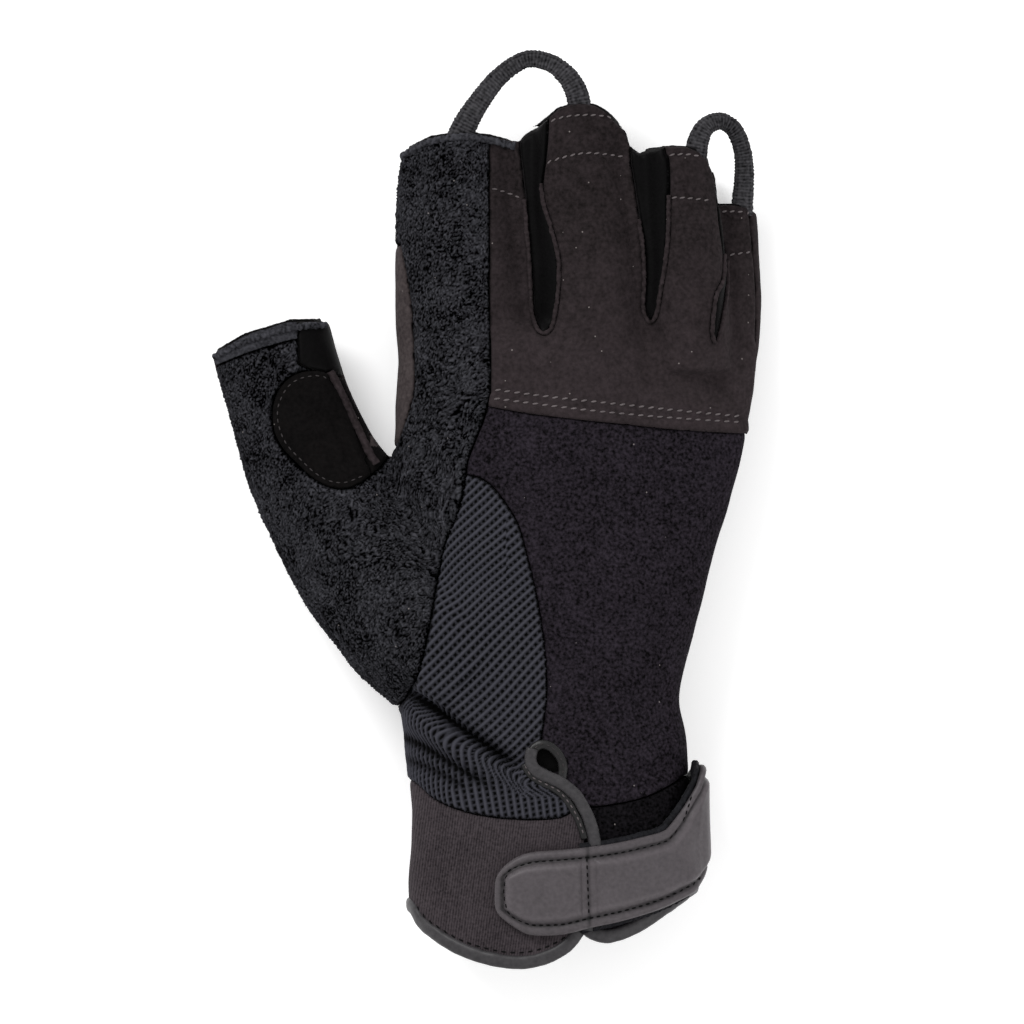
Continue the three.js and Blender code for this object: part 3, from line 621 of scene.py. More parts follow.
def buildCloth(name, look):
    material = bpy.data.materials.new(name)
    material.use_nodes = True
    tree = material.node_tree
    shader = tree.nodes["Principled BSDF"]
    place = addNode(tree, "ShaderNodeTexCoord").outputs["Object"]
    pile_and_shade = addNode(tree, "ShaderNodeAttribute", attribute_name="pile_and_shade").outputs["Fac"]
    grain = addNode(tree, "ShaderNodeTexNoise", {"Scale": 1000 / look["grain"] / 2, "Detail": 3.0}, {"Vector": place})
    cloud = addNode(tree, "ShaderNodeTexNoise", {"Scale": 1000 / look["cloud"] / 2, "Detail": 3.0}, {"Vector": place})
    # shade = pile attribute (the pattern with its painted shade) * depth + grain and cloud for the rest
    fine = addNode(tree, "ShaderNodeMath", {1: 0.65 * (1 - look["depth"] * 0.6)}, {0: grain.outputs["Fac"]},
                   operation="MULTIPLY")
    slow = addNode(tree, "ShaderNodeMath", {1: look["mottle"] * (1 - look["depth"] * 0.6)},
                   {0: cloud.outputs["Fac"], 2: fine.outputs[0]}, operation="MULTIPLY_ADD")
    shade = addNode(tree, "ShaderNodeMath", {1: look["depth"] * 0.6}, {0: pile_and_shade, 2: slow.outputs[0]},
                    operation="MULTIPLY_ADD")
    if look["lines"]:
        # the knit's fine upright ribs: the wave has one line to each 314 over its scale, in millimetres
        turned = addNode(tree, "ShaderNodeMapping", {"Rotation": (0, 0, math.radians(look["turn"]))},
                         {"Vector": place})
        twill = addNode(tree, "ShaderNodeTexWave", {"Scale": 314 / look["lines"], "Distortion": 1.0, "Detail": 1.0},
                        {"Vector": turned.outputs[0]})
        shade = addNode(tree, "ShaderNodeMath", {1: 0.17}, {0: twill.outputs["Fac"], 2: shade.outputs[0]},
                        operation="MULTIPLY_ADD")
    ramp = addNode(tree, "ShaderNodeValToRGB", links={"Fac": shade.outputs[0]})
    ramp.color_ramp.elements[0].position = look["low"]
    ramp.color_ramp.elements[0].color = toLinear(look["dark"])
    ramp.color_ramp.elements[1].position = look["high"]
    ramp.color_ramp.elements[1].color = toLinear(look["light"])
    colour = ramp.outputs["Color"]
    if look["fleck"]:
        # lint: a few cells of a fine cell pattern each hold one pale fibre end
        cells = addNode(tree, "ShaderNodeTexVoronoi", {"Scale": 1000 / 1.6}, {"Vector": place})
        lone = addNode(tree, "ShaderNodeMath", {1: 0.12}, {0: cells.outputs["Distance"]}, operation="LESS_THAN")
        rare = addNode(tree, "ShaderNodeSeparateColor", links={"Color": cells.outputs["Color"]})
        few = addNode(tree, "ShaderNodeMath", {1: 0.06 * look["fleck"]}, {0: rare.outputs[0]}, operation="LESS_THAN")
        both = addNode(tree, "ShaderNodeMath", links={0: lone.outputs[0], 1: few.outputs[0]}, operation="MULTIPLY")
        part = addNode(tree, "ShaderNodeMath", {1: 0.3}, {0: both.outputs[0]}, operation="MULTIPLY")
        mix = addNode(tree, "ShaderNodeMix", {7: toLinear("b4aca8")}, {0: part.outputs[0], 6: colour},
                      data_type="RGBA")
        colour = mix.outputs[2]
    tree.links.new(colour, shader.inputs["Base Color"])
    bump = addNode(tree, "ShaderNodeBump", {"Strength": look["bump"], "Distance": 0.25 * mm},
                   {"Height": grain.outputs["Fac"]})
    tree.links.new(bump.outputs[0], shader.inputs["Normal"])
    for socket, value in (("Roughness", look["rough"]), ("IOR", 1.45), ("Specular IOR Level", look["gloss"]),
                          ("Sheen Weight", look["sheen"]), ("Sheen Roughness", 0.5),
                          ("Sheen Tint", toLinear("6a6668"))):
        shader.inputs[socket].default_value = value
    return material


materials = {name: buildCloth(name, dict(usualCloth, **look)) for name, look in cloths.items()}
print("materials mixed")


def dress(piece, material, body="glove", replaced=()):
    piece.data.materials.clear()
    piece.data.materials.append(materials[material])
    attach(piece, body)
    if replaced:
        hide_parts(*replaced)


# the panels: how each kind of cloth is shaped, in millimetres. Cell is the size of its knots or creases,
# relief their height, cuts how often the mesh is halved to carry them, roll how far a seam turns in.
plainCloth = dict(thickness=1.1, cuts=0, pattern=crepe, relief=0.12, cell=2.5)
terryLook = dict(thickness=1.2, cuts=1, pattern=loopPile, relief=0.75, cell=0.8, roll=0.6, lift=-0.1)
# real waffle knit of this weight has its ribs 1.5 to 2 apart
waffleLook = dict(thickness=1.0, cuts=1, pattern=waffle, relief=0.6, pitch=1.75, lean=43, bar=0.6)
fingerRows = [
    [[1.4, 91.6], [4, 91], [7.6, 89.8]], [[1.2, 79.9], [5, 78.9], [9.2, 77.3]],
    [[15.9, 96.4], [20, 97.6], [26, 98], [31, 97.4], [34, 96]], [[14.9, 86], [20, 87.6], [26, 88.5], [35.6, 87.6]],
    [[45.4, 88], [50, 88.2], [55, 87.4]], [[45.9, 77.4], [50, 77.3], [57.4, 76.6]],
    [[58.6, 74.3], [63, 74.3], [67.3, 73.9]], [[60.6, 63.4], [64, 63.9], [68.4, 64.4]],
]
knuckleRows = [[[1.8, 29.6], [17, 27.6], [33.5, 25.9], [50, 24.2], [66, 22.8]],
               [[1.6, 27.4], [17, 25.4], [32.3, 23.7], [50, 22.3], [66, 21.4]]]
patchRing = [[-30.5, 8.2], [-35, 6.5], [-38.8, 6.8], [-42.4, 8.7], [-46, 12], [-49.7, 16], [-51.6, 20.4], [-51.9, 25],
             [-49.9, 29.7], [-46.6, 32.3], [-42, 33.1], [-39, 32.2]]
gapCloth = dict(plainCloth, roll=0.9)
cuffCloth = dict(plainCloth, thickness=1.6)
panelLooks = {
    "towel_panel": (terryLook, "cottonTowelling", "towelling"),
    "knuckle_panel": (plainCloth, "microfibreSuede", "suede"),
    "back_panel": (plainCloth, "stretchKnit", "stretch"),
    "mesh_gusset": (waffleLook, "waffleMesh", "mesh"),
    "index_edge_strip": (plainCloth, "paleSuede", "suede"),
    "thumb_patch": (plainCloth, "blackSuede", "suede"),
    "thumb_hem": (dict(plainCloth, relief=0.2, cuts=1, cell=1.2), "cottonTowelling", "towelling"),
    "thumb_gusset": (plainCloth, "glossElastane", "lycra"),
    "fourchette_index_middle": (gapCloth, "glossElastane", "lycra"),
    "fourchette_middle_ring": (gapCloth, "glossElastane", "lycra"),
    "fourchette_ring_little": (gapCloth, "glossElastane", "lycra"),
    "palm_panel": (plainCloth, "microfibreSuede", "suede"),
    "thumb_palm_panel": (plainCloth, "microfibreSuede", "suede"),
    "cuff_band": (cuffCloth, "jerseyNeoprene", "neoprene"),
    "cuff_palm": (cuffCloth, "jerseyNeoprene", "neoprene"),
}
withoutNode = ("thumb_gusset", "cuff_palm")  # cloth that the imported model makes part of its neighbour
extras = {
    # along the mesh's three deepest folds the colour is darkened with painted shade
    "mesh_gusset": dict(shadedHollows=[(folds[0][0], 0.9, 1.5), (folds[3][0], 0.8, 1.3), (folds[4][0], 0.6, 1.2)]),
    "knuckle_panel": dict(laps=[(knuckleEdge, 0.75)], creases=[(row, 0.22, 0.8) for row in fingerRows + knuckleRows]),
    "thumb_patch": dict(creases=[
        (patchRing, 0.35, 0.8), ([[-37, 9], [-38.5, 14], [-41.5, 19]], 0.8, 1.3),
        ([[-33.6, 10], [-35, 16], [-38.4, 23]], 0.8, 1.4),
        ([[-39.5, 33.4], [-35.6, 29], [-32.6, 22], [-30.4, 14.6], [-28.6, 10.4]], 1.0, 0.9)]),
}
panels = {}
for name, (keep, drop) in panelPlans.items():
    look, material, slot = panelLooks[name]
    panel = shapePanel(cutPanel(name, keep, drop), look, **extras.get(name, {}))
    dress(panel, material, replaced=[] if name in withoutNode else [name])
    if name == "index_edge_strip":
        # its lower end, inside the crook of the thumb, is black
        panel.data.materials.append(materials["blackSuede"])
        for face in panel.data.polygons:
            face.material_index = int(face.center.y < 0.0155)
    if name == "cuff_band":
        # right of the slit the cuff is covered in the black stretch cloth
        panel.data.materials.append(materials["blackKnit"])
        for face in panel.data.polygons:
            face.material_index = int(face.center.x > 0.0245)
    panels[name] = panel
print("panels cut and shaped")

# the palm's overlay: a second layer of suede on the flat of the palm
overlay = cutPanel("palm_patch", (curve(palmOverlay)[:-1], -20, 8))
shapePanel(overlay, dict(plainCloth, lift=1.25, thickness=1.0))
dress(overlay, "microfibreSuede", replaced=["palm_patch"])


def skinTree(pieces):
    bm = bmesh.new()
    for piece in pieces:
        bm.from_mesh(piece.data)
    tree = BVHTree.FromBMesh(bm)
    bm.free()
    return tree


def drape(tree, x, y, z=90):
    # the highest point of the skin at x, y, and which way it faces
    spot, normal = tree.ray_cast(Vector((x, y, z)) * mm, Vector((0, 0, -1)))[:2]
    return (None, None) if spot is None else (spot / mm, normal)


def thread(length, width):
    # one stitch: a short round-ended stretch of thread
    bpy.ops.object.select_all(action="DESELECT")
    bpy.ops.mesh.primitive_uv_sphere_add(segments=7, ring_count=5, radius=0.5 * mm, location=(0, 0, 0))
    stitch = bpy.context.object
    for v in stitch.data.vertices:
        x, y, z = v.co
        v.co = (z * length, x * width, y * width * 0.8)
    return stitch


def sewRow(name, lines, pitch, length, width, slant, material, tree, body="glove", lift=0.1, jitter=0.08):
    # stitches along lines in plan, laid on a skin; slant is how far each is turned from the line
    stitch = thread(length, width)
    bm = bmesh.new()
    noise.seed_set(7)
    for row, line in enumerate(lines):
        path = smoothRows(line, 8)
        lengths = np.concatenate([[0], np.cumsum(np.linalg.norm(np.diff(path, axis=0), axis=1))])
        for k in range(int(lengths[-1] / pitch)):
            along = (k + 0.5) * pitch + jitter * noise.noise(Vector((k * 1.7, row * 3.1, 0)))
            here = np.array([np.interp(along, lengths, path[:, i]) for i in (0, 1)])
            ahead = np.array([np.interp(along + 0.3, lengths, path[:, i]) for i in (0, 1)])
            spot, normal = drape(tree, *here)
            if spot is None or normal.z < 0.12:
                continue
            turn = math.atan2(*(ahead - here)[::-1]) + slant + 0.15 * noise.noise(Vector((k, row, 5)))
            forward = Vector((math.cos(turn), math.sin(turn), 0))
            forward = (forward - normal * forward.dot(normal)).normalized()
            side = normal.cross(forward)
            place = Matrix((forward, side, normal)).transposed().to_4x4()
            place.translation = (spot + normal * lift) * mm
            before = len(bm.verts)
            bm.from_mesh(stitch.data)
            bm.verts.ensure_lookup_table()
            bmesh.ops.transform(bm, matrix=place, verts=bm.verts[before:])
    bpy.data.objects.remove(stitch)
    made = newMesh(name, bm)
    smoothShade(made)
    dress(made, material, body=body)
    return made


topTree = skinTree(panels.values())
sewRow("knuckle_stitches", knuckleRows, 2.4, 1.6, 0.55, math.radians(18), "greyThread", topTree)
sewRow("finger_stitches", fingerRows, 2.0, 1.45, 0.5, math.radians(14), "greyThread", topTree)
sewRow("thumb_patch_stitches", [patchRing], 1.9, 1.1, 0.36, 0, "dullThread", topTree)


def tubeAlong(name, path, ups, half, rise, sides):
    # a flat or round cord: half its width across, half its thickness along ups
    path, ups = np.array(path, float), np.array(ups, float)
    half, rise = np.broadcast_to(half, len(path)), np.broadcast_to(rise, len(path))
    along = np.gradient(path, axis=0)
    along /= np.linalg.norm(along, axis=1)[:, None]
    side = np.cross(along, ups)
    side /= np.linalg.norm(side, axis=1)[:, None]
    up = np.cross(side, along)
    rings = []
    for i in range(len(path)):
        ring = []
        for k in range(sides):
            turn = 2 * math.pi * k / sides
            c, s = math.cos(turn), math.sin(turn)
            c = math.copysign(abs(c) ** 0.75, c)
            s = math.copysign(abs(s) ** 0.75, s)
            ring.append(path[i] + side[i] * half[i] * c + up[i] * rise[i] * s)
        rings.append(ring)
    made = loftRings(name, rings)
    smoothShade(made)
    return made


def evenly(path, step):
    # the same path in even steps
    path = np.array(path, float)
    lengths = np.concatenate([[0], np.cumsum(np.linalg.norm(np.diff(path, axis=0), axis=1))])
    stops = np.linspace(0, lengths[-1], max(2, int(lengths[-1] / step)))
    return np.stack([np.interp(stops, lengths, path[:, i]) for i in range(path.shape[1])], 1)


def roughen(piece, amount, size):
    # a hand-made unevenness: its height and its size in millimetres
    co, no = vertexArray(piece), normalArray(piece)
    bumpy = np.array([noise.noise(Vector(p) / size) for p in co])
    setVertices(piece, co + no * (bumpy * amount)[:, None])
    keepAttribute(piece, "pile_and_shade", np.clip(0.5 + bumpy * 0.4, 0, 1))


# each stall's tip is lined with a turned-in hem of black jersey, cut to the outline of the tip
def lineTip(finger, outline):
    lining = loftRings(finger + "_tip_outer", fingerRings(fingers[finger], -1.5))
    innerWall = loftRings(finger + "_tip_inner", fingerRings(fingers[finger], -2.3))
    applyModifier(lining, "BOOLEAN", object=innerWall, operation="DIFFERENCE", solver="MANIFOLD")
    bpy.data.objects.remove(innerWall)
    lining.name = finger + "_tip_lining"
    cutWith(lining, prism(outline, below, above), "INTERSECT")
    lining.data.materials.clear()
    applyModifier(lining, "REMESH", mode="VOXEL", voxel_size=liningVoxel * mm, adaptivity=0)
    applyModifier(lining, "SMOOTH", factor=0.5, iterations=3)
    roughen(lining, 0.12, 1.1)
    smoothShade(lining)
    dress(lining, "glossElastane", replaced=[finger + "_tip_facing"])


liningStarts = {"index": 89.6, "middle": 95.6, "ring": 84.6, "little": 70.6}
pastTips = [[x, y + 0.35] for x, y in tipLine][::-1]
for finger, start in liningStarts.items():
    lineTip(finger, [[-60, start], [80, start], [80, 72.7]] + pastTips + [[-60, 84]])
lineTip("thumb", [[-80, 34], [-30, 38], [-30, 47.7], [-39.5, 47.7], [-49, 47.3], [-54, 45.7], [-60.3, 43.8],
                  [-68.5, 39.3], [-80, 34.5]])
print("tips lined")


def wristSpot(angle, y, lift):
    # a point on the wrist: 0 is the little finger's side, 90 the back of the hand, 180 the thumb's side
    rows = np.array(hand["stations"], float)
    left, right, bottom, top, drop = [np.interp(y, rows[:, 0], rows[:, i]) for i in range(1, 6)]
    turn = math.radians(angle)
    c, s = math.cos(turn), math.sin(turn)
    across = math.copysign(abs(c) ** (2 / hand["squareness"]), c)
    up = math.copysign(abs(s) ** (2 / hand["squareness"]), s)
    x = (left + right) / 2 + ((right - left) / 2 + lift) * across
    depth = (bottom + top) / 2 + ((top - bottom) / 2 + lift) * up - drop * max(up, 0) * max(across, 0)
    return [x, y, max(depth, hand["floor"] - max(lift, 0) * 0.4 - 0.4)]


hemCurve = smoothRows(hemLine, 8)


def hemAt(x):
    return float(np.interp(x, hemCurve[:, 0], hemCurve[:, 1]))


def palmHemAt(x):
    return palmHem[0][1] + (x - palmHem[0][0]) * 0.04


# the wrist's bound edge: leathercloth folded over the cut cuff, back and palm
def bindHem(name, angles, edge, replaced=()):
    # a flattened tube that swallows the cut edge: its middle lies 1.5 above the edge
    path, ups = [], []
    for angle in angles:
        x = wristSpot(angle, -100, 0)[0]
        y = edge(x) + 1.5
        here, out = np.array(wristSpot(angle, y, -0.45)), np.array(wristSpot(angle, y, 3))
        path.append(here)
        ups.append((out - here) / np.linalg.norm(out - here))
    binding = tubeAlong(name, path, ups, 1.75, 1.15, 14)
    roughen(binding, 0.12, 2.2)
    dress(binding, "edgeLeathercloth", replaced=replaced)


topAngles = [a for a in np.linspace(203, -23, 190)]
bindHem("hem_binding_left", [a for a in topAngles if wristSpot(a, -100, 0)[0] < 24.0], hemAt, ["cuff_hem_binding"])
bindHem("hem_binding_right", [a for a in topAngles if wristSpot(a, -100, 0)[0] > 24.6], hemAt)
bindHem("hem_binding_palm", np.linspace(200, 340, 110), palmHemAt)
print("hem bound")


def layOn(line, tree, lift, step=0.5):
    # a line in plan laid on a skin, and the way up along it, both eased
    path, ups = [], []
    for x, y in evenly(smoothRows(line, 8), step):
        spot, normal = drape(tree, x, y)
        if spot is None:
            continue
        path.append(np.array(spot) + np.array(normal) * lift)
        ups.append(np.array(normal))
    path, ups = np.array(path), np.array(ups)
    for _ in range(6):
        path[1:-1] = path[1:-1] * 0.5 + (path[:-2] + path[2:]) * 0.25
        ups[1:-1] = ups[1:-1] * 0.5 + (ups[:-2] + ups[2:]) * 0.25
    return path, ups


wholeTree = skinTree([form])
slitRoute = [[11.4, -59.6], [11.0, -62.4], [12.4, -65.0], [15.4, -66.6], [18.8, -68.2], [22.3, -71.2],
             [24.8, -75.4], [26.5, -80.4], [27.2, -86], [26.6, -93], [25.6, -100], [24.9, -104.6]]
keyholeEdge = [[18.6, -67.6], [19.2, -63.8], [17.4, -60.2], [14.2, -58.4], [11.6, -59.8], [11.0, -62.8],
               [12.4, -65.6]]
flangeRoute = [[9.6, -63.4], [11.4, -66.4], [14.8, -68.3], [18.0, -70.0], [20.8, -73.2], [23.0, -77.2],
               [24.6, -82]]
behindKeyhole = [[13.6, -54.5], [14.4, -61], [17.4, -69]]


def edgeAlong(name, line, lift, half, rise, sides, size, material, replaced=()):
    path, ups = layOn(line, wholeTree, lift)
    made = tubeAlong(name, path, ups, half, rise, sides)
    roughen(made, 0.1, size)
    dress(made, material, replaced=replaced)
    return made


edgeAlong("slit_binding", slitRoute, 0.9, 1.55, 1.15, 14, 2.0, "edgeLeathercloth", ["slit_binding"])
rim = edgeAlong("keyhole_rim", keyholeEdge, 0.35, 1.2, 0.75, 12, 1.4, "blackLeathercloth")
flange = edgeAlong("slit_flange", flangeRoute, 0.35, 1.0, 0.55, 12, 1.4, "blackLeathercloth")
edgeAlong("slit_inner_facing", behindKeyhole, -3, 8, 0.5, 14, 1.4, "glossElastane")
print("slit bound")


# rolled, overlocked edges of the index finger and the thumb, and the corded edges of the finger gaps
def rolledEdge(name, line, half, rise, ribPitch, lift, material):
    path, ups = layOn(line, wholeTree, lift, 0.18)
    ribs = 0.12 * np.cos(np.arange(len(path)) * 0.18 * 2 * math.pi / ribPitch) if ribPitch else np.zeros(len(path))
    made = tubeAlong(name, path, ups, half + ribs, rise + ribs, 14)
    roughen(made, 0.2, 0.9)
    dress(made, material)


rolledEdge("index_rolled_hem", [[-20.6, 88.2], [-14, 91.4], [-5.3, 92.7], [1.1, 91.8], [7.2, 90.4]],
           0.85, 0.7, 1.5, 0.25, "cottonTowelling")
rolledEdge("thumb_overlock", [[-67.6, 38.0], [-60.3, 41.6], [-54, 43.6], [-47.5, 45.2], [-40.4, 45.8]],
           0.8, 0.7, 1.3, 0.25, "cottonTowelling")
rolledEdge("thumb_suede_fold", [[-39, 34.2], [-36.6, 29.5], [-34, 24], [-31.2, 18], [-29, 13.4], [-27.4, 11]],
           1.0, 0.8, 0, 0.2, "microfibreSuede")
for name, line in (("index_middle", gapIndexMiddle[3:16]), ("middle_ring", gapMiddleRing[3:13]),
                   ("ring_little", gapRingLittle[3:12])):
    rolledEdge(name + "_gap_cord", line, 0.5, 0.5, 0, 0.25, "microfibreSuede")
print("edges rolled")

# the strap round the wrist: angle, y of its upper edge, y of its lower edge
strapRows = [
    [108.5, -92.6, -98.6], [107.6, -90.6, -100.4], [104.8, -88.4, -102.2], [100.7, -86.4, -104.2],
    [95.95, -85.2, -105.7], [88.6, -84.6, -105.6], [79.7, -83.9, -103.9], [68.9, -82.9, -102.4],
    [56.2, -81.4, -100.4], [46.1, -80.1, -98.7], [40.3, -77.9, -97.6],
    [33.5, -74.1, -96.3], [27.6, -69.1, -95.2], [21.6, -64.8, -93.6], [11.8, -63.9, -90.6],
    [0, -64.4, -88.6], [-15, -66.6, -88.4], [-30, -68.6, -89], [-46, -70.6, -89.6]]
strapLifts = [[108.5, 3.0], [95, 3.1], [79.7, 3.5], [56, 3.5], [40, 3.6], [27, 4.2], [12, 3.7], [0, 2.5], [-15, 2.1],
              [-46, 1.1]]


def strapAt(table, angle, column):
    # a column of one of the strap's tables, at an angle round the wrist
    rows = np.array(table)[::-1]
    return np.interp(angle, rows[:, 0], rows[:, column])


def dome(distance, width):
    # a smooth bump, 1 in the middle
    return math.exp(-(distance / width) ** 2)


def strapSheet(name, start, end, pad, groove, thickness=1.7, drop=0.0, inset=0.0, steps=260, across=44):
    # how far in from the edge the stitches run and the padding begins, and x of the row across the tab
    seam, padStart, crossSeam = 2.5, 3.2, 25.3
    rows = smoothRows(strapRows, 6)
    angles = np.linspace(start, end, steps)
    top = np.interp(angles, rows[::-1, 0], rows[::-1, 1])
    bottom = np.interp(angles, rows[::-1, 0], rows[::-1, 2])
    centres = np.array([wristSpot(a, -90, 3) for a in angles])
    run = np.concatenate([[0], np.cumsum(np.linalg.norm(np.diff(centres[:, [0, 2]], axis=0), axis=1))])
    bm = bmesh.new()
    outer, inner, paintedShading = [], [], []
    for i, angle in enumerate(angles):
        rowOut, rowIn = [], []
        for j in range(across + 1):
            share = j / across
            y = top[i] - inset + (bottom[i] - top[i] + 2 * inset) * share
            edge = min(share, 1 - share) * (top[i] - bottom[i])
            edge = min(edge, run[i] + 0.6 if start > 90 else 9)
            lift = strapAt(strapLifts, angle, 1) - drop
            edgeFall = 0.75 * max(0, 1 - edge / 1.2) ** 2
            split = abs(centres[i][0] - crossSeam) if angle > 60 else 9
            raised = pad * min(1, max(0, (min(edge, split + 1.6) - padStart) / 1.3)) ** 0.6
            dip = groove * dome(edge - seam, 0.45)
            # the far corner stands off the wrist and ripples
            corner = (1.6 * dome(angle - 15, 9) * (1 - share)
                      + 2.2 * dome(angle - 26, 11) * max(0, 1 - share * 1.6) ** 1.5)
            ripple = 0.5 * math.sin(angle / 3.2 + share * 4) * dome(angle - 26, 14) * (1 - share * 0.6)
            height = lift + corner + ripple + raised - dip - edgeFall
            rowOut.append(bm.verts.new(Vector(wristSpot(angle, y, height)) * mm))
            rowIn.append(bm.verts.new(Vector(wristSpot(angle, y, lift + corner + ripple - thickness
                                                       + 0.5 * max(0, 1 - edge / 1.2) ** 2)) * mm))
            # the colour here is painted light: painted shade in the stitch groove and along the cross seam, a painted
            # highlight on the top of the padding's edge
            paintedShading.append(0.62 - 0.55 * dome(edge - seam, 0.6) * (groove > 0)
                         + 0.2 * dome(edge - 4.3, 0.6) * (pad > 0.5) - 0.4 * dome(split, 0.5) * (pad > 0.5))
            paintedShading.append(0.4)
        outer.append(rowOut)
        inner.append(rowIn)
    for i in range(len(outer) - 1):
        for j in range(across):
            bm.faces.new((outer[i][j], outer[i + 1][j], outer[i + 1][j + 1], outer[i][j + 1]))
            bm.faces.new((inner[i][j], inner[i][j + 1], inner[i + 1][j + 1], inner[i + 1][j]))
        for j in (0, across):
            bm.faces.new((outer[i][j], inner[i][j], inner[i + 1][j], outer[i + 1][j]))
    for i in (0, len(outer) - 1):
        for j in range(across):
            bm.faces.new((outer[i][j], outer[i][j + 1], inner[i][j + 1], inner[i][j]))
    bmesh.ops.recalc_face_normals(bm, faces=bm.faces)
    made = newMesh(name, bm)
    smoothShade(made)
    keepAttribute(made, "pile_and_shade", paintedShading)
    return made


strap = strapSheet("strap_cover", 108.4, 6.8, 1.05, 0.5)
dress(strap, "satinLeathercloth", "strap", ["wrist_strap"])
anchor = strapSheet("strap_sewn_end", 4.6, -45, 0.3, 0.3, steps=120, thickness=1.9)
dress(anchor, "satinLeathercloth", replaced=["strap_anchor"])
# under the strap: its pile lining, the hook cloth of its tab, and the loop cloth sewn to the cuff
for name, start, end, thickness, drop, inset, steps, shag, size, body, node in (
        ("strap_pile_lining", 82, 7, 1.2, 1.8, -1.1, 200, 0.45, 0.9, "strap", "strap_lining"),
        ("strap_hook_cloth", 106.5, 87, 0.9, 1.8, 1.4, 70, 0.25, 0.7, "strap", "strap_hook_patch"),
        ("cuff_loop_cloth", 107, 88, 0.8, 2.6, 1.0, 70, 0.25, 0.7, "glove", "cuff_loop_patch")):
    sheet = strapSheet(name, start, end, 0, 0, thickness, drop, inset, steps)
    roughen(sheet, shag, size)
    dress(sheet, "hookAndLoop", body, [node])
print("strap made")


# the pull loops: knitted elastic tape, ribbed across, wide at the feet and drawn narrow at the crest
def pullTape(name, tape, body, node):
    step, sides, knitPitch, knitsRound = 0.16, 26, 1.7, 5
    path = evenly(smoothRows([spot + [width] for spot, width in zip(tape["route"], tape["widths"])], 10), step)
    ups = np.tile([0, 0, 1.0], (len(path), 1))
    loop = tubeAlong(name, path[:, :3], ups, path[:, 3] / 2, 1.25, sides)
    # a diamond knit, with stray fibres
    run, turn = np.divmod(np.arange(len(loop.data.vertices)), sides)
    run, turn = run * step * 2 * math.pi / knitPitch, turn * 2 * math.pi / sides * knitsRound
    knit = np.cos(run + turn) * np.cos(run - turn)
    fuzzed, no = vertexArray(loop), normalArray(loop)
    soft = np.array([noise.noise(Vector(p) / 0.5) for p in fuzzed]) * 0.2
    keepAttribute(loop, "pile_and_shade", 0.5 + 0.35 * knit + soft)
    setVertices(loop, fuzzed + no * (soft + 0.1 * knit)[:, None])
    dress(loop, "knittedElastic", body, [node])


indexMiddleTape = {
    "route": [[-7.0, 91.2, 24.9], [-5.4, 95.2, 25.0], [-2.4, 100.4, 24.6], [3.0, 107.4, 24.4], [9.6, 111.9, 24.8],
              [15.8, 111.2, 25.6], [20.2, 107.8, 26.4], [22.6, 103.6, 27.0], [23.6, 98.8, 27.3]],
    "widths": [6.4, 6.2, 5.4, 4.6, 4.2, 4.4, 5, 5.6, 5.8],
}
ringLittleTape = {
    "route": [[52.2, 87.6, 25.4], [53.2, 92.4, 24.6], [55.2, 95.6, 22.8], [58.8, 96.8, 20.4], [62.2, 94.6, 17.8],
              [64.2, 89.6, 15.4], [64.7, 84, 13.9], [64.4, 78.4, 13.3], [64.0, 73.6, 13.2]],
    "widths": [5.6, 5.2, 4.6, 4.2, 4.2, 4.4, 4.8, 5.2, 5.6],
}
pullTape("index_middle_tape", indexMiddleTape, "index_middle_loop", "index_middle_pull_loop")
pullTape("ring_little_tape", ringLittleTape, "ring_little_loop", "ring_little_pull_loop")
print("pull loops made")

# the rest of the sewing
cuffSkin = skinTree([panels["cuff_band"], panels["cuff_palm"], panels["mesh_gusset"], panels["back_panel"]])
hemRows = [[[x, hemAt(x) + 3.9] for x in np.linspace(-17.5, 22.5, 16)],
           [[x, hemAt(x) + 3.9] for x in np.linspace(26.5, 50, 12)]]
sewRow("hem_stitches", hemRows, 2.2, 1.3, 0.42, 0, "blackThread", cuffSkin)
sewRow("slit_stitches", [flangeRoute], 1.7, 1.0, 0.4, 0, "greyThread", skinTree([flange]))
sewRow("keyhole_stitches", [keyholeEdge[:5]], 1.6, 0.9, 0.34, 0, "dullThread", skinTree([rim]))


def strapLine(angles, column, inset):
    made = []
    for angle in angles:
        y = strapAt(strapRows, angle, column) + inset
        made.append([wristSpot(angle, y, strapAt(strapLifts, angle, 1))[0], y])
    return made


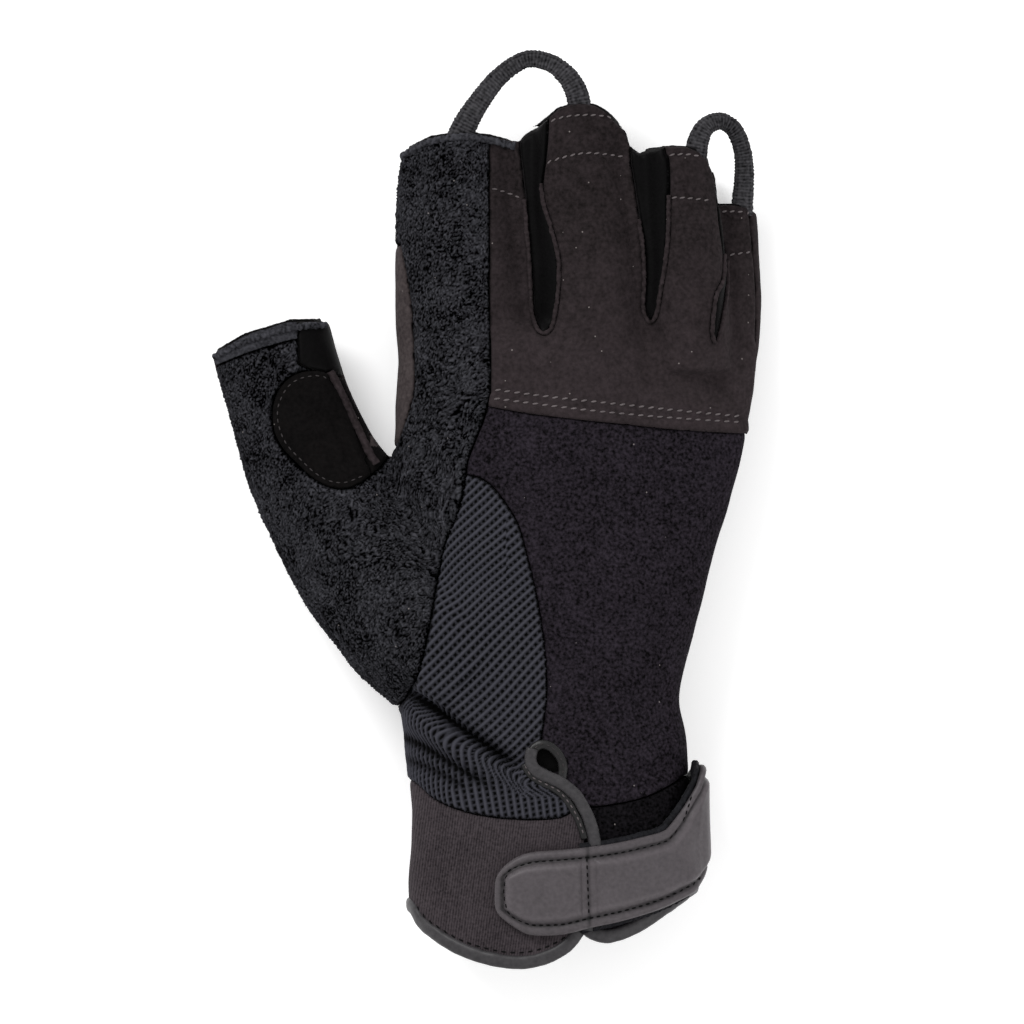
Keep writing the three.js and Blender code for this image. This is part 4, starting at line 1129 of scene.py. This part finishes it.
tabArc = [[5.9, -89.6], [4.9, -92], [4.5, -95.2], [5.1, -98.6], [6.4, -101]]
strapStitches = (strapLine(np.linspace(14, 97.6, 34), 1, -2.5) + tabArc + strapLine(np.linspace(97, 18, 34), 2, 2.5))
crossRow = [[25.0, -86.2], [25.3, -94], [25.6, -101.8]]
sewRow("strap_stitches", [strapStitches, crossRow], 1.8, 1.15, 0.4, 0, "blackThread", skinTree([strap]),
       "strap", lift=0.05)
print("sewn")


# camera, light and floor
# what the camera frames, in millimetres: level is the height that width is measured at
view = {"middle": (6.5, -0.9), "width": 256, "height": 2500, "level": 20}


def buildStudio():
    bpy.ops.object.camera_add(location=(view["middle"][0] * mm, view["middle"][1] * mm, view["height"] * mm))
    camera = bpy.context.object
    camera.data.sensor_width = 36
    camera.data.lens = 36 * (view["height"] - view["level"]) / view["width"]
    camera.data.clip_end = 20
    bpy.context.scene.camera = camera
    bpy.ops.mesh.primitive_plane_add(size=3, location=(0, 0, -0.0004))
    floor = bpy.context.object
    floor.name = "floor"
    paper = bpy.data.materials.new("matt_white_paper")
    paper.use_nodes = True
    shader = paper.node_tree.nodes["Principled BSDF"]
    shader.inputs["Base Color"].default_value = toLinear("f4f4f4")
    shader.inputs["Roughness"].default_value = 0.9
    shader.inputs["Emission Color"].default_value = (1, 1, 1, 1)
    shader.inputs["Emission Strength"].default_value = 0.35
    floor.data.materials.append(paper)
    world = bpy.data.worlds.new("studio")
    world.use_nodes = True
    world.node_tree.nodes["Background"].inputs[0].default_value = (1, 1, 1, 1)
    world.node_tree.nodes["Background"].inputs[1].default_value = 0.75
    bpy.context.scene.world = world
    for name, spot, size, power in (("key", (-0.55, 0.75, 0.9), 0.5, 9), ("fill", (0.8, -0.5, 0.9), 0.9, 4)):
        bpy.ops.object.light_add(type="AREA", location=spot)
        lamp = bpy.context.object
        lamp.name = name
        lamp.data.size = size
        lamp.data.energy = power
        lamp.rotation_euler = (-Vector(spot)).to_track_quat("-Z", "Y").to_euler()
    bpy.context.scene.view_settings.view_transform = "Standard"


buildStudio()
print("studio lit")
bpy.data.objects.remove(form)
for mark in marks:
    bpy.data.materials.remove(mark)
